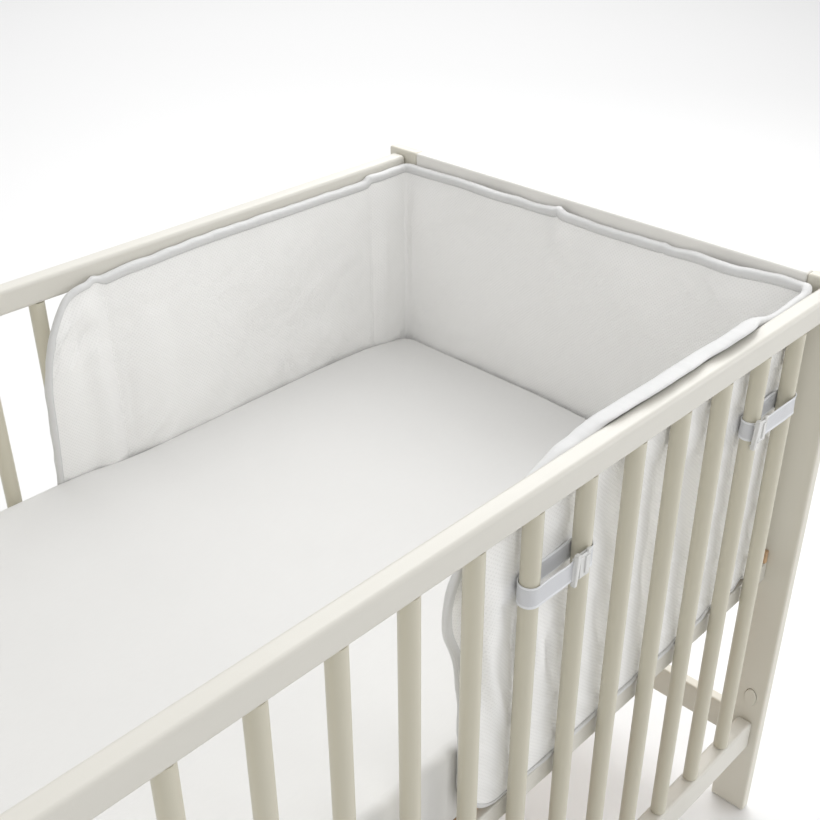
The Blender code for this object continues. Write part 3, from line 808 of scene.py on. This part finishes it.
def fold_depth(distance, height):
    """How far the standing sheet is pushed towards the mattress there."""
    depth = 0.0
    for along, half_width, middle, half_height, reach, lean in FOLDS + CREASES:
        upwards = (height - middle) / half_height
        if abs(upwards) < 1:
            slanted = distance - along - lean * (height - middle)
            depth += reach * hump(slanted / half_width) * hump(upwards)
    if depth < 0:
        depth *= smooth_step((RAIL_UNDERSIDE - height) / BULGE_FADE)
    depth *= smooth_step((height - FADE_LOW) / (FADE_HIGH - FADE_LOW))
    if distance > NEAR_RUN_START:
        depth -= RAIL_LEAN * over_rail(distance) * smooth_step((height - RAIL_TOP) / 0.008)
        depth += spindle_dent(distance, height)
    return depth


def spindle_dent(distance, height):
    """How far the near spindles press into the cloth, which swells between them."""
    x = SHEET_LENGTH - distance + NEAR_END_X
    step = (x - FIRST_SPINDLE_X) / SPINDLE_PITCH
    beside = abs(step - round(step)) * SPINDLE_PITCH
    spread = smooth_step((height - 0.44) / 0.05) * smooth_step((0.745 - height) / 0.06)
    return SPINDLE_DENT * hump(beside / 0.030) * spread


def drawn_in(distance, height):
    """How far the near end hangs in from its flat outline: in at its foot, out at its shoulder."""
    by_end = smooth_step((distance - SHEET_LENGTH + END_DRAW_REACH) / END_DRAW_EASE)
    foot = END_DRAW_FOOT * smooth_step((END_DRAW_FOOT_TOP - height) / 0.075)
    shoulder = END_DRAW_SHOULDER * smooth_step((height - END_DRAW_SHOULDER_LOW) / 0.050)
    return by_end * (foot - shoulder * smooth_step((END_DRAW_SHOULDER_TOP - height) / 0.050))


def sheet_point(distance, height):
    """Middle of the sheet's thickness, and the direction towards the mattress."""
    distance -= drawn_in(distance, height)
    point, travel = sheet_line(min(SHEET_LENGTH, max(0.0, distance)))
    point = point + travel * (distance - min(SHEET_LENGTH, max(0.0, distance)))
    inward = Vector((travel.y, -travel.x))
    point = point + inward * fold_depth(distance, height)
    return Vector((point.x, point.y, height)), Vector((inward.x, inward.y, 0.0))


def from_rim(distance, height):
    """About how far in from the rim the place is."""
    ends = from_end(distance) * 1.6
    return min(height - low_height(distance), top_height(distance) - height, ends)


def pad_half(distance, height):
    """Half the pad's thickness: flat under the tape, full inside, nipped at the seams."""
    full = smooth_step((from_rim(distance, height) - RIM_FLAT) / RIM_RISE)
    half = EDGE_HALF + (BODY_HALF - EDGE_HALF) * full
    for seam in SEAMS:
        nip = hump((distance - seam) / SEAM_HALF_WIDTH)
        half += (SEAM_HALF - half) * nip
    return half


def round_end(steps):
    """Distances in from an end of the sheet, closer together where its outline is steep."""
    turns = (math.pi / 2 * step / steps for step in range(steps + 1))
    return [TOP_CORNER[0] * (1 - math.cos(angle)) for angle in turns]


def pad_columns():
    """Distances of the pad's columns: closer at its round ends, its seams and its corners."""
    ends = round_end(PAD_END_STEPS)
    far_corner = SHEET_LINE_X - FAR_END_X - FAR_CORNER_RADIUS
    near_corner = far_corner + 2 * SHEET_LINE_Y - NEAR_CORNER_RADIUS
    busy = SEAMS + (far_corner, far_corner + 0.012, near_corner, near_corner + 0.015)
    columns = [place - FAR_TUCK for place in ends]
    last = SHEET_LENGTH - TOP_CORNER[0]
    while columns[-1] < last:
        near_busy = min(abs(columns[-1] - place) for place in busy) < PAD_FINE_REACH
        columns.append(columns[-1] + (PAD_FINE_STEP if near_busy else PAD_STEP))
    columns.pop()
    return columns + [SHEET_LENGTH - place for place in reversed(ends)]


def flat_grid(columns, rows):
    """A grid in the XY plane whose vertices hold their column and row numbers as x and y."""
    shape = bmesh.new()
    bmesh.ops.create_grid(shape, x_segments=columns, y_segments=rows, size=0.5)
    for corner in shape.verts:
        corner.co.x = round((corner.co.x + 0.5) * columns)
        corner.co.y = round((corner.co.y + 0.5) * rows)
    return shape


def map_flat(shape):
    """Writes the flat place of every corner to the UV map, in metres."""
    layer = shape.loops.layers.uv.new("flat")
    for face in shape.faces:
        for loop in face.loops:
            loop[layer].uv = loop.vert.co.xy


def map_strip(shape, step, widths):
    """The same for a strip's grid, from its columns' step and its rows' places across."""
    layer = shape.loops.layers.uv.new("flat")
    for face in shape.faces:
        for loop in face.loops:
            column, row = loop.vert.co.xy
            loop[layer].uv = (column * step, widths[int(row)])


def sewn_share(distance, height):
    """1 where the tape or a seam holds the pad, falling to 0 on the free cloth."""
    held = 1 - smooth_step((from_rim(distance, height) - RIM_FLAT) / SEWN_FADE)
    lines = SEAMS + CORNER_CREASES
    return max([held] + [hump((distance - line) / SEAM_HALF_WIDTH) for line in lines])


def add_pad(settings, material):
    """The two cloth faces and the rim between them, shaped from one flat grid."""
    columns = pad_columns()
    shape = flat_grid(len(columns) - 1, PAD_ROWS)
    for corner in shape.verts:
        distance = columns[int(corner.co.x)]
        low = low_height(distance)
        high = top_height(distance)
        corner.co.xy = (distance, low + (high - low) * corner.co.y / PAD_ROWS)
    bmesh.ops.solidify(shape, geom=shape.faces[:], thickness=1.0)
    map_flat(shape)
    middle = sum(corner.co.z for corner in shape.verts) / len(shape.verts)
    shape.verts.index_update()
    flat = [corner.co.copy() for corner in shape.verts]
    for corner in shape.verts:
        distance, height, level = corner.co
        point, inward = sheet_point(distance, height)
        side = 1 if level > middle else -1
        corner.co = point + inward * side * pad_half(distance, height)
    bmesh.ops.recalc_face_normals(shape, faces=shape.faces)
    pad = keep("bumper_pad", shape, material, ["bumper"])
    settle(pad, flat, settings)
    return pad


def settle(pad, flat, settings):
    """Lets the padding swell and the cloth crease between its sewn edges, by simulation."""
    rest = [corner.co.copy() for corner in pad.data.vertices]
    held = [sewn_share(distance, height) for distance, height, _ in flat]
    sewn = pad.vertex_groups.new(name="sewn")
    for number, share in enumerate(held):
        sewn.add([number], share, "REPLACE")
    cloth = pad.modifiers.new("padding", "CLOTH")
    cloth.settings.vertex_group_mass = sewn.name
    cloth.settings.effector_weights.gravity = 0.0
    cloth.settings.use_pressure = True
    cloth.settings.uniform_pressure_force = PAD_PRESSURE
    cloth.settings.use_internal_springs = True
    cloth.settings.internal_spring_max_length = PAD_SPRING_REACH
    cloth.settings.internal_tension_stiffness = PAD_SPRING_STIFFNESS
    cloth.settings.internal_compression_stiffness = PAD_SPRING_STIFFNESS
    cloth.settings.shrink_min = -settings.slack
    cloth.settings.quality = PAD_QUALITY
    cloth.point_cache.frame_end = PAD_FRAMES
    for number in range(1, PAD_FRAMES + 1):
        bpy.context.scene.frame_set(number)
    settled = pad.evaluated_get(bpy.context.evaluated_depsgraph_get()).data.vertices
    moves = [Vector(after.co) - before for after, before in zip(settled, rest)]
    pad.modifiers.remove(cloth)
    pad.vertex_groups.remove(sewn)
    bpy.context.scene.frame_set(1)
    for number, (distance, height, _) in enumerate(flat):
        _, inward = sheet_point(distance, height)
        room = settings.puff if moves[number].dot(inward) > 0 else outer_room(height)
        move = eased_cap(moves[number].dot(inward), room) * inward
        across = moves[number] - moves[number].dot(inward) * inward
        if across.length > 1e-9:
            move += across.normalized() * eased_cap(across.length, PAD_SLIDE)
        pad.data.vertices[number].co = rest[number] + move * (1 - held[number])


def eased_cap(value, limit):
    """The value, held softly within the limit."""
    return limit * math.tanh(value / limit)


def outer_room(height):
    """How far the cloth may move outwards there, before it meets the rail or the spindles."""
    at_rail = smooth_step((height - (RAIL_UNDERSIDE - BULGE_FADE)) / BULGE_FADE)
    return PAD_ROOM_AT_SPINDLES + (PAD_ROOM_AT_RAIL - PAD_ROOM_AT_SPINDLES) * at_rail


def even_line(points, step):
    """Points at even steps along a closed line."""
    closed = [Vector(point) for point in points] + [Vector(points[0])]
    lengths = [0.0]
    for start, end in zip(closed, closed[1:]):
        lengths.append(lengths[-1] + (end - start).length)
    count = round(lengths[-1] / step)
    found = []
    index = 0
    for number in range(count):
        place = lengths[-1] * number / count
        while lengths[index + 1] < place:
            index += 1
        share = (place - lengths[index]) / max(1e-9, lengths[index + 1] - lengths[index])
        found.append(closed[index].lerp(closed[index + 1], share))
    return found, lengths[-1]


def rim_line():
    """The sheet's rim, laid flat: bottom, near end, top and far end."""
    ends = round_end(40)
    first = TOP_CORNER[0] - FAR_TUCK
    straight = SHEET_LENGTH - TOP_CORNER[0] - first
    even = [first + straight * step / 600 for step in range(1, 600)]
    columns = [place - FAR_TUCK for place in ends] + even
    columns += [SHEET_LENGTH - place for place in reversed(ends)]
    bottom = [(distance, low_height(distance)) for distance in columns]
    top = [(distance, top_height(distance)) for distance in reversed(columns)]
    return even_line(bottom + top, TAPE_STEP)


def tape_profile():
    """The folded tape cut across, from the inner hem over the rim to the outer hem.

    Each point is a distance in from the rim and a distance from the middle of the sheet.
    """
    centre = TAPE_HALF - TAPE_CROWN
    inner_flat = []
    outer_flat = []
    for step in range(TAPE_FLAT_STEPS):
        share = step / TAPE_FLAT_STEPS
        inset = TAPE_REACH + (centre - TAPE_REACH) * share
        out = TAPE_HALF - TAPE_HEM_PRESS * (1 - smooth_step(share * 1.6))
        inner_flat.append((inset, out + TAPE_BULGE * smooth_step(share * 1.4)))
        outer_flat.append((inset, -out))
    fold = []
    for step in range(TAPE_ARC_STEPS + 1):
        angle = math.pi * step / TAPE_ARC_STEPS
        out = TAPE_HALF * math.cos(angle)
        if out > 0:
            out *= 1 + TAPE_BULGE / TAPE_HALF
        fold.append((centre - TAPE_HALF * math.sin(angle), out))
    return inner_flat + fold + outer_flat[::-1]


def above_foot(place):
    return smooth_step((place.y - low_height(place.x) - 0.002) / 0.05)


def at_end(place):
    return 1 - smooth_step((from_end(place.x) - TAPE_STEP_PLACE) / TAPE_STEP_RAMP)


def tape_share(place):
    """How much of the tape's flat reach shows: along the foot it is nearly all turned under."""
    narrow = (TAPE_LOW_REACH - TAPE_HALF) / (TAPE_REACH - TAPE_HALF)
    wide = 1 - (1 - TAPE_END_SHARE) * max(at_end(place), over_rail(place.x))
    return narrow + (wide - narrow) * above_foot(place)


def tape_fullness(place):
    """How thick the tape stands there: thinner round the ends and along the foot."""
    return TAPE_THIN + (1 - TAPE_THIN) * min(above_foot(place), 1 - at_end(place))


def lengths_along(points):
    """Length from the first point to each point of an open line."""
    lengths = [0.0]
    for start, end in zip(points, points[1:]):
        lengths.append(lengths[-1] + math.dist(start, end))
    return lengths


def add_tape(settings):
    """The tape's profile carried round the rim, a little lumpy, with its doubles closed."""
    rim, perimeter = rim_line()
    profile = tape_profile()
    widths = lengths_along(profile)
    count = len(rim)
    shape = flat_grid(count, len(profile) - 1)
    map_strip(shape, perimeter / count, widths)
    for corner in shape.verts:
        number = int(corner.co.x) % count
        inset, out = profile[int(corner.co.y)]
        here = rim[number]
        travel = (rim[(number + 1) % count] - rim[number - 1]).normalized()
        into = Vector((-travel.y, travel.x))
        lump = noise.noise(Vector((here.x * 38, here.y * 38, 3.0))) * settings.lumps
        swell = noise.noise(Vector((here.x * 70, here.y * 70, 9.0))) * settings.lumps * 0.5
        roundness = 1 - inset / TAPE_REACH
        if inset > TAPE_HALF:
            inset = TAPE_HALF + (inset - TAPE_HALF) * tape_share(here)
        flat = here + into * (inset - lump * roundness)
        point, inward = sheet_point(flat.x, flat.y)
        out *= tape_fullness(here) + TAPE_PLUMP * over_rail(here.x) * roundness
        if abs(out) > 1e-4:
            out += math.copysign(swell * roundness, out)
        corner.co = point + inward * out
    bmesh.ops.remove_doubles(shape, verts=shape.verts, dist=1e-6)
    bmesh.ops.recalc_face_normals(shape, faces=shape.faces)
    tape = keep("rim_tape", shape, tape_finish(settings, widths[-1]), ["binding"])
    wall = tape.modifiers.new("tape wall", "SOLIDIFY")
    wall.thickness = TAPE_WALL
    wall.offset = -1.0
    return tape


class CRIBBUMPER_OT_pad(bpy.types.Operator):
    """Make the padded mesh sheet that stands round the mattress"""

    bl_idname = "crib_bumper.pad"
    bl_label = "Padded sheet"

    def execute(self, context):
        settings = context.scene.bumper_settings
        add_pad(settings, mesh_finish(settings))
        return {"FINISHED"}


class CRIBBUMPER_OT_tape(bpy.types.Operator):
    """Fold the satin tape over the sheet's rim"""

    bl_idname = "crib_bumper.tape"
    bl_label = "Rim tape"

    def execute(self, context):
        tape = add_tape(context.scene.bumper_settings)
        return {"FINISHED"}


# Straps and clips


def strap_line(left, right):
    """Plan points of a strap round two spindles, with outward directions, at even steps."""
    reach = SPINDLE_RADIUS + GAP + STRAP_THICKNESS / 2
    run = right - left
    half_turn = math.pi * reach
    count = round((2 * run + 2 * half_turn) / STRAP_STEP)
    line = []
    for number in range(count):
        along = (2 * run + 2 * half_turn) * number / count
        sign = 1 if along < run + half_turn else -1
        along -= 0.0 if sign > 0 else run + half_turn
        start, end = (left, right) if sign > 0 else (right, left)
        if along < run:
            out = Vector((0, -sign))
            line.append((Vector((start + sign * along, -sign * reach)), out))
        else:
            angle = (along - run) / reach - sign * math.pi / 2
            out = Vector((math.cos(angle), math.sin(angle)))
            line.append((Vector((end, 0)) + out * reach, out))
    return line, 2 * run + 2 * half_turn


def add_strap(name, node, material):
    """A webbing loop where the CAD strap is, its edges a little soft."""
    low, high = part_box(node)
    side = 1 if low.y > 0 else -1
    reach = SPINDLE_RADIUS + GAP + STRAP_THICKNESS
    line, length = strap_line(low.x + reach, high.x - reach)
    shape = flat_grid(len(line), STRAP_ROWS)
    across = [STRAP_WIDTH * row / STRAP_ROWS for row in range(STRAP_ROWS + 1)]
    map_strip(shape, length / len(line), across)
    for corner in shape.verts:
        plan, out = line[int(corner.co.x) % len(line)]
        row = corner.co.y
        rise = STRAP_WIDTH * (row / STRAP_ROWS - 0.5)
        wave = noise.noise(Vector((plan.x * 60, plan.y * 60, rise * 90)))
        bead = STRAP_BEAD if row in (0, STRAP_ROWS) else 0.0
        plan = plan + out * (0.00045 * wave + bead)
        rise += 0.0009 * noise.noise(Vector((plan.x * 38, plan.y * 38, 4.0)))
        corner.co = (plan.x, side * (SPINDLE_PLANE - plan.y), STRAP_HEIGHT + rise)
    bmesh.ops.remove_doubles(shape, verts=shape.verts, dist=1e-6)
    bmesh.ops.recalc_face_normals(shape, faces=shape.faces)
    strap = keep(name, shape, material, [node])
    wall = strap.modifiers.new("webbing thickness", "SOLIDIFY")
    wall.thickness = STRAP_THICKNESS * 0.8
    wall.offset = 0.0
    return strap


class CRIBBUMPER_OT_straps(bpy.types.Operator):
    """Make the webbing loops round the spindles"""

    bl_idname = "crib_bumper.straps"
    bl_label = "Straps"

    def execute(self, context):
        material = webbing_finish(context.scene.bumper_settings)
        for side in ("near", "far"):
            for number in (1, 2):
                add_strap(f"webbing_{side}_{number}", f"strap_{side}_{number}", material)
        return {"FINISHED"}


def add_clip(name, node, material):
    """A moulded clip: a channel over the strap, a grip bar, a ribbed pad and a scalloped edge."""
    low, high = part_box(node)
    middle = (low.x + high.x) / 2
    side = 1 if low.y > 0 else -1
    lip = SPINDLE_RADIUS + GAP
    back = lip + STRAP_THICKNESS + GAP
    front = back + CLIP_WALL
    half = STRAP_WIDTH / 2 + GAP
    shape = bmesh.new()
    length = CLIP_LENGTH / 2
    add_block(shape, (-length, back, -half - CLIP_WALL), (length, front, half + CLIP_WALL), 0.0007)
    for sign in (1, -1):
        z_low, z_high = sorted((sign * half, sign * (half + CLIP_WALL)))
        add_block(shape, (-length, lip, z_low), (length, front - 0.0002, z_high), 0.0006)
    width, depth, height = CLIP_BAR
    root = front - 0.001
    grip_bar = (-length, back, -height / 2), (width - length, front + depth, height / 2)
    thumb_pad = (0.0034, root, -half + 0.002), (length - 0.0030, front + 0.0012, half - 0.002)
    rib = (-0.0042, root, -half), (-0.0016, front + 0.0009, half)
    horn = (length - 0.0062, back, half), (length - 0.0008, front + 0.0010, half + 0.0046)
    blocks = ((grip_bar, 0.0012), (thumb_pad, 0.0006), (rib, 0.0004), (horn, 0.0009))
    for (start, end), rounding in blocks:
        add_block(shape, start, end, rounding)
    for corner in shape.verts:
        if corner.co.x > length - 0.0025:
            corner.co.x += 0.0010 * math.cos(2 * math.pi * corner.co.z / 0.009)
        if corner.co.x < width - length + 1e-4 and corner.co.z < -half - CLIP_WALL / 2:
            tip = (-half - CLIP_WALL - corner.co.z) / (height / 2 - half - CLIP_WALL)
            corner.co.x += (width / 2 - length - corner.co.x) * 0.45 * max(0.0, tip)
            corner.co.y -= 0.0012 + 0.0012 * max(0.0, tip)
    bmesh.ops.scale(shape, vec=(1, side, 1), verts=shape.verts)
    bmesh.ops.translate(shape, vec=(middle, side * SPINDLE_PLANE, STRAP_HEIGHT), verts=shape.verts)
    bmesh.ops.recalc_face_normals(shape, faces=shape.faces)
    return even_normals(keep(name, shape, material, [node]))


class CRIBBUMPER_OT_clips(bpy.types.Operator):
    """Make the moulded clips on the straps"""

    bl_idname = "crib_bumper.clips"
    bl_label = "Clips"

    def execute(self, context):
        material = plastic_finish(context.scene.bumper_settings)
        for side in ("near", "far"):
            for number in (1, 2):
                add_clip(f"moulded_clip_{side}_{number}", f"clip_{side}_{number}", material)
        return {"FINISHED"}


# Mattress


def crown(x, y):
    """How much the sheet stands above or below the foam's level there."""
    towards_far = smooth_step((y - 0.02) / 0.24)
    towards_head = smooth_step((x - 0.40) / 0.18)
    rise = 0.009 * towards_far * (1 - 0.9 * smooth_step((x - 0.50) / 0.09))
    rise += 0.009 * smooth_step((0.13 - x) / 0.12) * towards_far
    rise -= towards_head * (0.005 + 0.005 * smooth_step((0.06 - y) / 0.14))
    soft = noise.noise(Vector((x * 3.0, y * 3.0, 1.0))) * 0.0016
    ripple = noise.noise(Vector((x * 11.0, y * 11.0, 5.0))) * 0.0004
    return rise + soft + ripple


def pressed_in(x, y, z):
    """The mattress's side at one place, held clear of the bumper's folds."""
    far_place = x - FAR_END_X
    near_place = SHEET_LENGTH - (x - NEAR_END_X)
    place = far_place if y > 0 else near_place
    if -FAR_TUCK < place < SHEET_LENGTH and x > 0 and abs(y) > 0.2:
        room = SHEET_LINE_Y - BODY_HALF - MATTRESS_CLEARANCE - max(0.0, fold_depth(place, z))
        y = math.copysign(min(abs(y), room), y)
    return y


class CRIBBUMPER_OT_mattress(bpy.types.Operator):
    """Make the mattress in its fitted sheet"""

    bl_idname = "crib_bumper.mattress"
    bl_label = "Mattress"

    def execute(self, context):
        low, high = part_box("mattress")
        shape = bmesh.new()
        add_block(shape, low, high)
        upright = [edge for edge in shape.edges if edge.verts[0].co.xy == edge.verts[1].co.xy]
        round_edges(shape, upright, MATTRESS_CORNER, 10)
        round_edges(shape, [edge for edge in shape.edges if is_level(edge)], MATTRESS_EDGE, 6)
        for axis in (0, 1):
            normal = Vector((axis == 0, axis == 1, 0))
            steps = round((high[axis] - low[axis]) / 0.018)
            for number in range(1, steps):
                place = low[axis] + (high[axis] - low[axis]) * number / steps
                bmesh.ops.bisect_plane(
                    shape, geom=shape.verts[:] + shape.edges[:] + shape.faces[:],
                    plane_co=normal * place, plane_no=normal,
                )
        for corner in shape.verts:
            x, y, z = corner.co
            z += crown(x, y) * smooth_step((z - low.z) / (high.z - low.z))
            corner.co = (x, pressed_in(x, y, z), z)
        bmesh.ops.recalc_face_normals(shape, faces=shape.faces)
        material = sheet_finish(context.scene.crib_settings)
        piece = keep("mattress_in_sheet", shape, material, ["mattress"])
        return {"FINISHED"}


# Crib


def add_board(node, rounding, material):
    low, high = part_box(node)
    shape = bmesh.new()
    add_block(shape, low, high, rounding, 4)
    return even_normals(keep("painted_" + node, shape, material, [node]))


class CRIBBUMPER_OT_boards(bpy.types.Operator):
    """Make the crib's rails, panels, crossbars and legs"""

    bl_idname = "crib_bumper.boards"
    bl_label = "Boards"

    def execute(self, context):
        settings = context.scene.crib_settings
        rail_paint = paint_finish("rail_paint", settings.paint_colour, "x")
        # The panels' paint is lighter than the rails': painted light
        panel_paint_lit = paint_finish("panel_paint_lit", settings.panel_colour_lit, "y")
        # Crossbars and legs take a darker, warmer copy of the paint: painted shade and warm bounce
        # light
        shaded_bar_paint = paint_finish("crossbar_paint_shaded", settings.leg_colour_shaded, "y")
        leg_paint_shaded = paint_finish("leg_paint_shaded", settings.leg_colour_shaded, "z")
        for side in ("near", "far"):
            add_board(f"top_rail_{side}", settings.board_rounding * 1.25, rail_paint)
            add_board(f"bottom_rail_{side}", settings.board_rounding, rail_paint)
            add_board(f"base_rail_{side}", settings.board_rounding * 0.5, rail_paint)
        for end in ("head", "foot"):
            add_board(f"{end}_panel", settings.board_rounding * 0.75, panel_paint_lit)
            add_board(f"{end}_crossbar", settings.board_rounding * 0.75, shaded_bar_paint)
            for side in ("near", "far"):
                add_board(f"{end}_leg_{side}", settings.board_rounding * 0.75, leg_paint_shaded)
        return {"FINISHED"}


class CRIBBUMPER_OT_spindles(bpy.types.Operator):
    """Make the round spindles of both long sides"""

    bl_idname = "crib_bumper.spindles"
    bl_label = "Spindles"

    def execute(self, context):
        settings = context.scene.crib_settings
        # The spindles' paint is darker and warmer than the rails': painted shade and warm bounce
        # light
        material = paint_finish("spindle_paint_shaded", settings.spindle_colour_shaded, "z")
        for side in ("near", "far"):
            names = [name for name in frame["nodes"] if name.startswith(f"spindle_{side}")]
            shape = bmesh.new()
            for name in sorted(names):
                low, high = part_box(name)
                made = bmesh.ops.create_cone(
                    shape, cap_ends=True, segments=settings.spindle_sides,
                    radius1=SPINDLE_RADIUS, radius2=SPINDLE_RADIUS, depth=high.z - low.z,
                    matrix=Matrix.Translation((low + high) / 2),
                )
                rims = [edge for edge in edges_of(made["verts"]) if is_level(edge)]
                round_edges(shape, rims, 0.0006, 2)
            piece = keep(f"spindles_{side}", shape, material, names)
            even_normals(piece)
        return {"FINISHED"}


class CRIBBUMPER_OT_slats(bpy.types.Operator):
    """Make the raw pine slats and the strips that join them"""

    bl_idname = "crib_bumper.slats"
    bl_label = "Slats"

    def execute(self, context):
        low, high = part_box("slat_base")
        slat = (high.x - low.x) / SLAT_COUNT * SLAT_SHARE
        pitch = (high.x - low.x - slat) / (SLAT_COUNT - 1)
        shape = bmesh.new()
        for number in range(SLAT_COUNT):
            start = low.x + pitch * number
            add_block(shape, (start, low.y, low.z), (start + slat, high.y, high.z), 0.0012, 2)
        for start in (low.y, high.y - SLAT_STRIP):
            add_block(
                shape, (low.x + 0.002, start + 0.0002, low.z + 0.0002),
                (high.x - 0.002, start + SLAT_STRIP - 0.0002, high.z - 0.0004), 0.001, 2,
            )
        for end in (1, -1):
            for side in (1, -1):
                low_x, high_x = sorted((end * BLOCK_LOW[0], end * BLOCK_HIGH[0]))
                low_y, high_y = sorted((side * BLOCK_LOW[1], side * BLOCK_HIGH[1]))
                block_low = (low_x, low_y, BLOCK_LOW[2])
                add_block(shape, block_low, (high_x, high_y, BLOCK_HIGH[2]), 0.0008, 2)
        material = pine_finish(context.scene.crib_settings)
        even_normals(keep("pine_slats", shape, material, ["slat_base"]))
        return {"FINISHED"}


class CRIBBUMPER_OT_caps(bpy.types.Operator):
    """Make the oval cover caps over the bolts in the legs"""

    bl_idname = "crib_bumper.caps"
    bl_label = "Cover caps"

    def execute(self, context):
        # The caps take the legs' paint, with its painted shade and warm bounce light
        material = bpy.data.materials["leg_paint_shaded"]
        shape = bmesh.new()
        for end in (1, -1):
            for side in (1, -1):
                place = Vector((end * CAP_PLACE[0], side * CAP_PLACE[1], CAP_PLACE[2]))
                middle = Matrix.Translation(place - Vector((end * CAP_HEIGHT / 2, 0, 0)))
                facing = Matrix.Rotation(-end * math.pi / 2, 4, "Y")
                oval = Matrix.Diagonal((1.0, 1.0, CAP_STRETCH, 1.0))
                made = bmesh.ops.create_cone(
                    shape, cap_ends=True, segments=32, radius1=CAP_RADIUS,
                    radius2=CAP_RADIUS * 0.92, depth=CAP_HEIGHT,
                    matrix=middle @ oval @ facing,
                )
                face = abs(place.x) - CAP_HEIGHT / 2
                outer = [
                    edge for edge in edges_of(made["verts"])
                    if all(abs(corner.co.x) < face for corner in edge.verts)
                ]
                round_edges(shape, outer, 0.0006, 3)
        bmesh.ops.recalc_face_normals(shape, faces=shape.faces)
        even_normals(keep("cover_caps", shape, material))
        return {"FINISHED"}


# Stage


def add_lamp(name, place, aim, size, power):
    data = bpy.data.lights.new(name, "AREA")
    data.shape = "SQUARE"
    data.size = size
    data.energy = power
    lamp = bpy.data.objects.new(name, data)
    lamp.location = place
    lamp.rotation_mode = "QUATERNION"
    lamp.rotation_quaternion = (Vector(aim) - Vector(place)).to_track_quat("-Z", "Y")
    bpy.context.scene.collection.objects.link(lamp)


def add_camera(settings):
    """The camera, from its heading, tilt and roll."""
    yaw, pitch, roll = settings.camera_yaw, settings.camera_pitch, settings.camera_roll
    level = math.cos(pitch)
    view = Vector((math.cos(yaw) * level, math.sin(yaw) * level, -math.sin(pitch)))
    right = Vector((math.sin(yaw), -math.cos(yaw), 0.0))
    down = view.cross(right)
    right, down = (
        right * math.cos(roll) + down * math.sin(roll),
        down * math.cos(roll) - right * math.sin(roll),
    )
    data = bpy.data.cameras.new("photo_camera")
    data.sensor_width = 36.0
    data.lens = settings.lens
    data.shift_y = 1 / 820
    camera = bpy.data.objects.new("photo_camera", data)
    turned = Matrix((right, -down, -view)).transposed().to_4x4()
    camera.matrix_world = Matrix.Translation(settings.camera_place) @ turned
    bpy.context.scene.collection.objects.link(camera)
    bpy.context.scene.camera = camera


class CRIBBUMPER_OT_stage(bpy.types.Operator):
    """Lay the floor, hang the soft lamps and set the camera"""

    bl_idname = "crib_bumper.stage"
    bl_label = "Stage"

    def execute(self, context):
        settings = context.scene.stage_settings
        shape = bmesh.new()
        bmesh.ops.create_circle(shape, cap_ends=True, segments=96, radius=25.0)
        bmesh.ops.translate(shape, vec=(0, 0, -0.0005), verts=shape.verts)
        mesh = bpy.data.meshes.new("floor")
        shape.to_mesh(mesh)
        shape.free()
        mesh.materials.append(floor_finish(settings))
        floor = bpy.data.objects.new("floor", mesh)
        context.scene.collection.objects.link(floor)
        world = bpy.data.worlds.new("studio")
        world.use_nodes = True
        background = world.node_tree.nodes["Background"]
        background.inputs["Color"].default_value = (1.0, 1.0, 1.0, 1.0)
        background.inputs["Strength"].default_value = settings.sky_strength
        context.scene.world = world
        context.scene.view_settings.view_transform = "Standard"
        for name, place, aim, size, power in LAMPS:
            add_lamp(name, place, aim, size, power * settings.lamp_strength)
        add_camera(settings)
        return {"FINISHED"}


PIECE_OPERATORS = (
    CRIBBUMPER_OT_boards,
    CRIBBUMPER_OT_spindles,
    CRIBBUMPER_OT_slats,
    CRIBBUMPER_OT_caps,
    CRIBBUMPER_OT_mattress,
    CRIBBUMPER_OT_pad,
    CRIBBUMPER_OT_tape,
    CRIBBUMPER_OT_straps,
    CRIBBUMPER_OT_clips,
    CRIBBUMPER_OT_stage,
)
SETTINGS = {
    "bumper_settings": BumperSettings,
    "crib_settings": CribSettings,
    "stage_settings": StageSettings,
}


class CRIBBUMPER_PT_panel(bpy.types.Panel):
    """Lists the pieces and the sizes and colours that they are made from"""

    bl_label = "Crib bumper"
    bl_idname = "CRIBBUMPER_PT_panel"
    bl_space_type = "VIEW_3D"
    bl_region_type = "UI"
    bl_category = "Crib bumper"

    def draw(self, context):
        for name in SETTINGS:
            group = getattr(context.scene, name)
            box = self.layout.box()
            for setting in group.bl_rna.properties:
                if setting.identifier not in ("rna_type", "name"):
                    box.prop(group, setting.identifier)
        for operator in PIECE_OPERATORS:
            self.layout.operator(operator.bl_idname)


def register():
    for group in SETTINGS.values():
        bpy.utils.register_class(group)
    for name, group in SETTINGS.items():
        setattr(bpy.types.Scene, name, PointerProperty(type=group))
    for operator in PIECE_OPERATORS:
        bpy.utils.register_class(operator)
    bpy.utils.register_class(CRIBBUMPER_PT_panel)


def unregister():
    bpy.utils.unregister_class(CRIBBUMPER_PT_panel)
    for operator in reversed(PIECE_OPERATORS):
        bpy.utils.unregister_class(operator)
    for name, group in reversed(SETTINGS.items()):
        delattr(bpy.types.Scene, name)
        bpy.utils.unregister_class(group)


def main():
    register()
    bpy.ops.crib_bumper.boards()
    bpy.ops.crib_bumper.spindles()
    bpy.ops.crib_bumper.slats()
    bpy.ops.crib_bumper.caps()
    bpy.ops.crib_bumper.mattress()
    bpy.ops.crib_bumper.pad()
    bpy.ops.crib_bumper.tape()
    bpy.ops.crib_bumper.straps()
    bpy.ops.crib_bumper.clips()
    bpy.ops.crib_bumper.stage()
    bpy.context.view_layer.update()


if __name__ == "__main__":
    main()
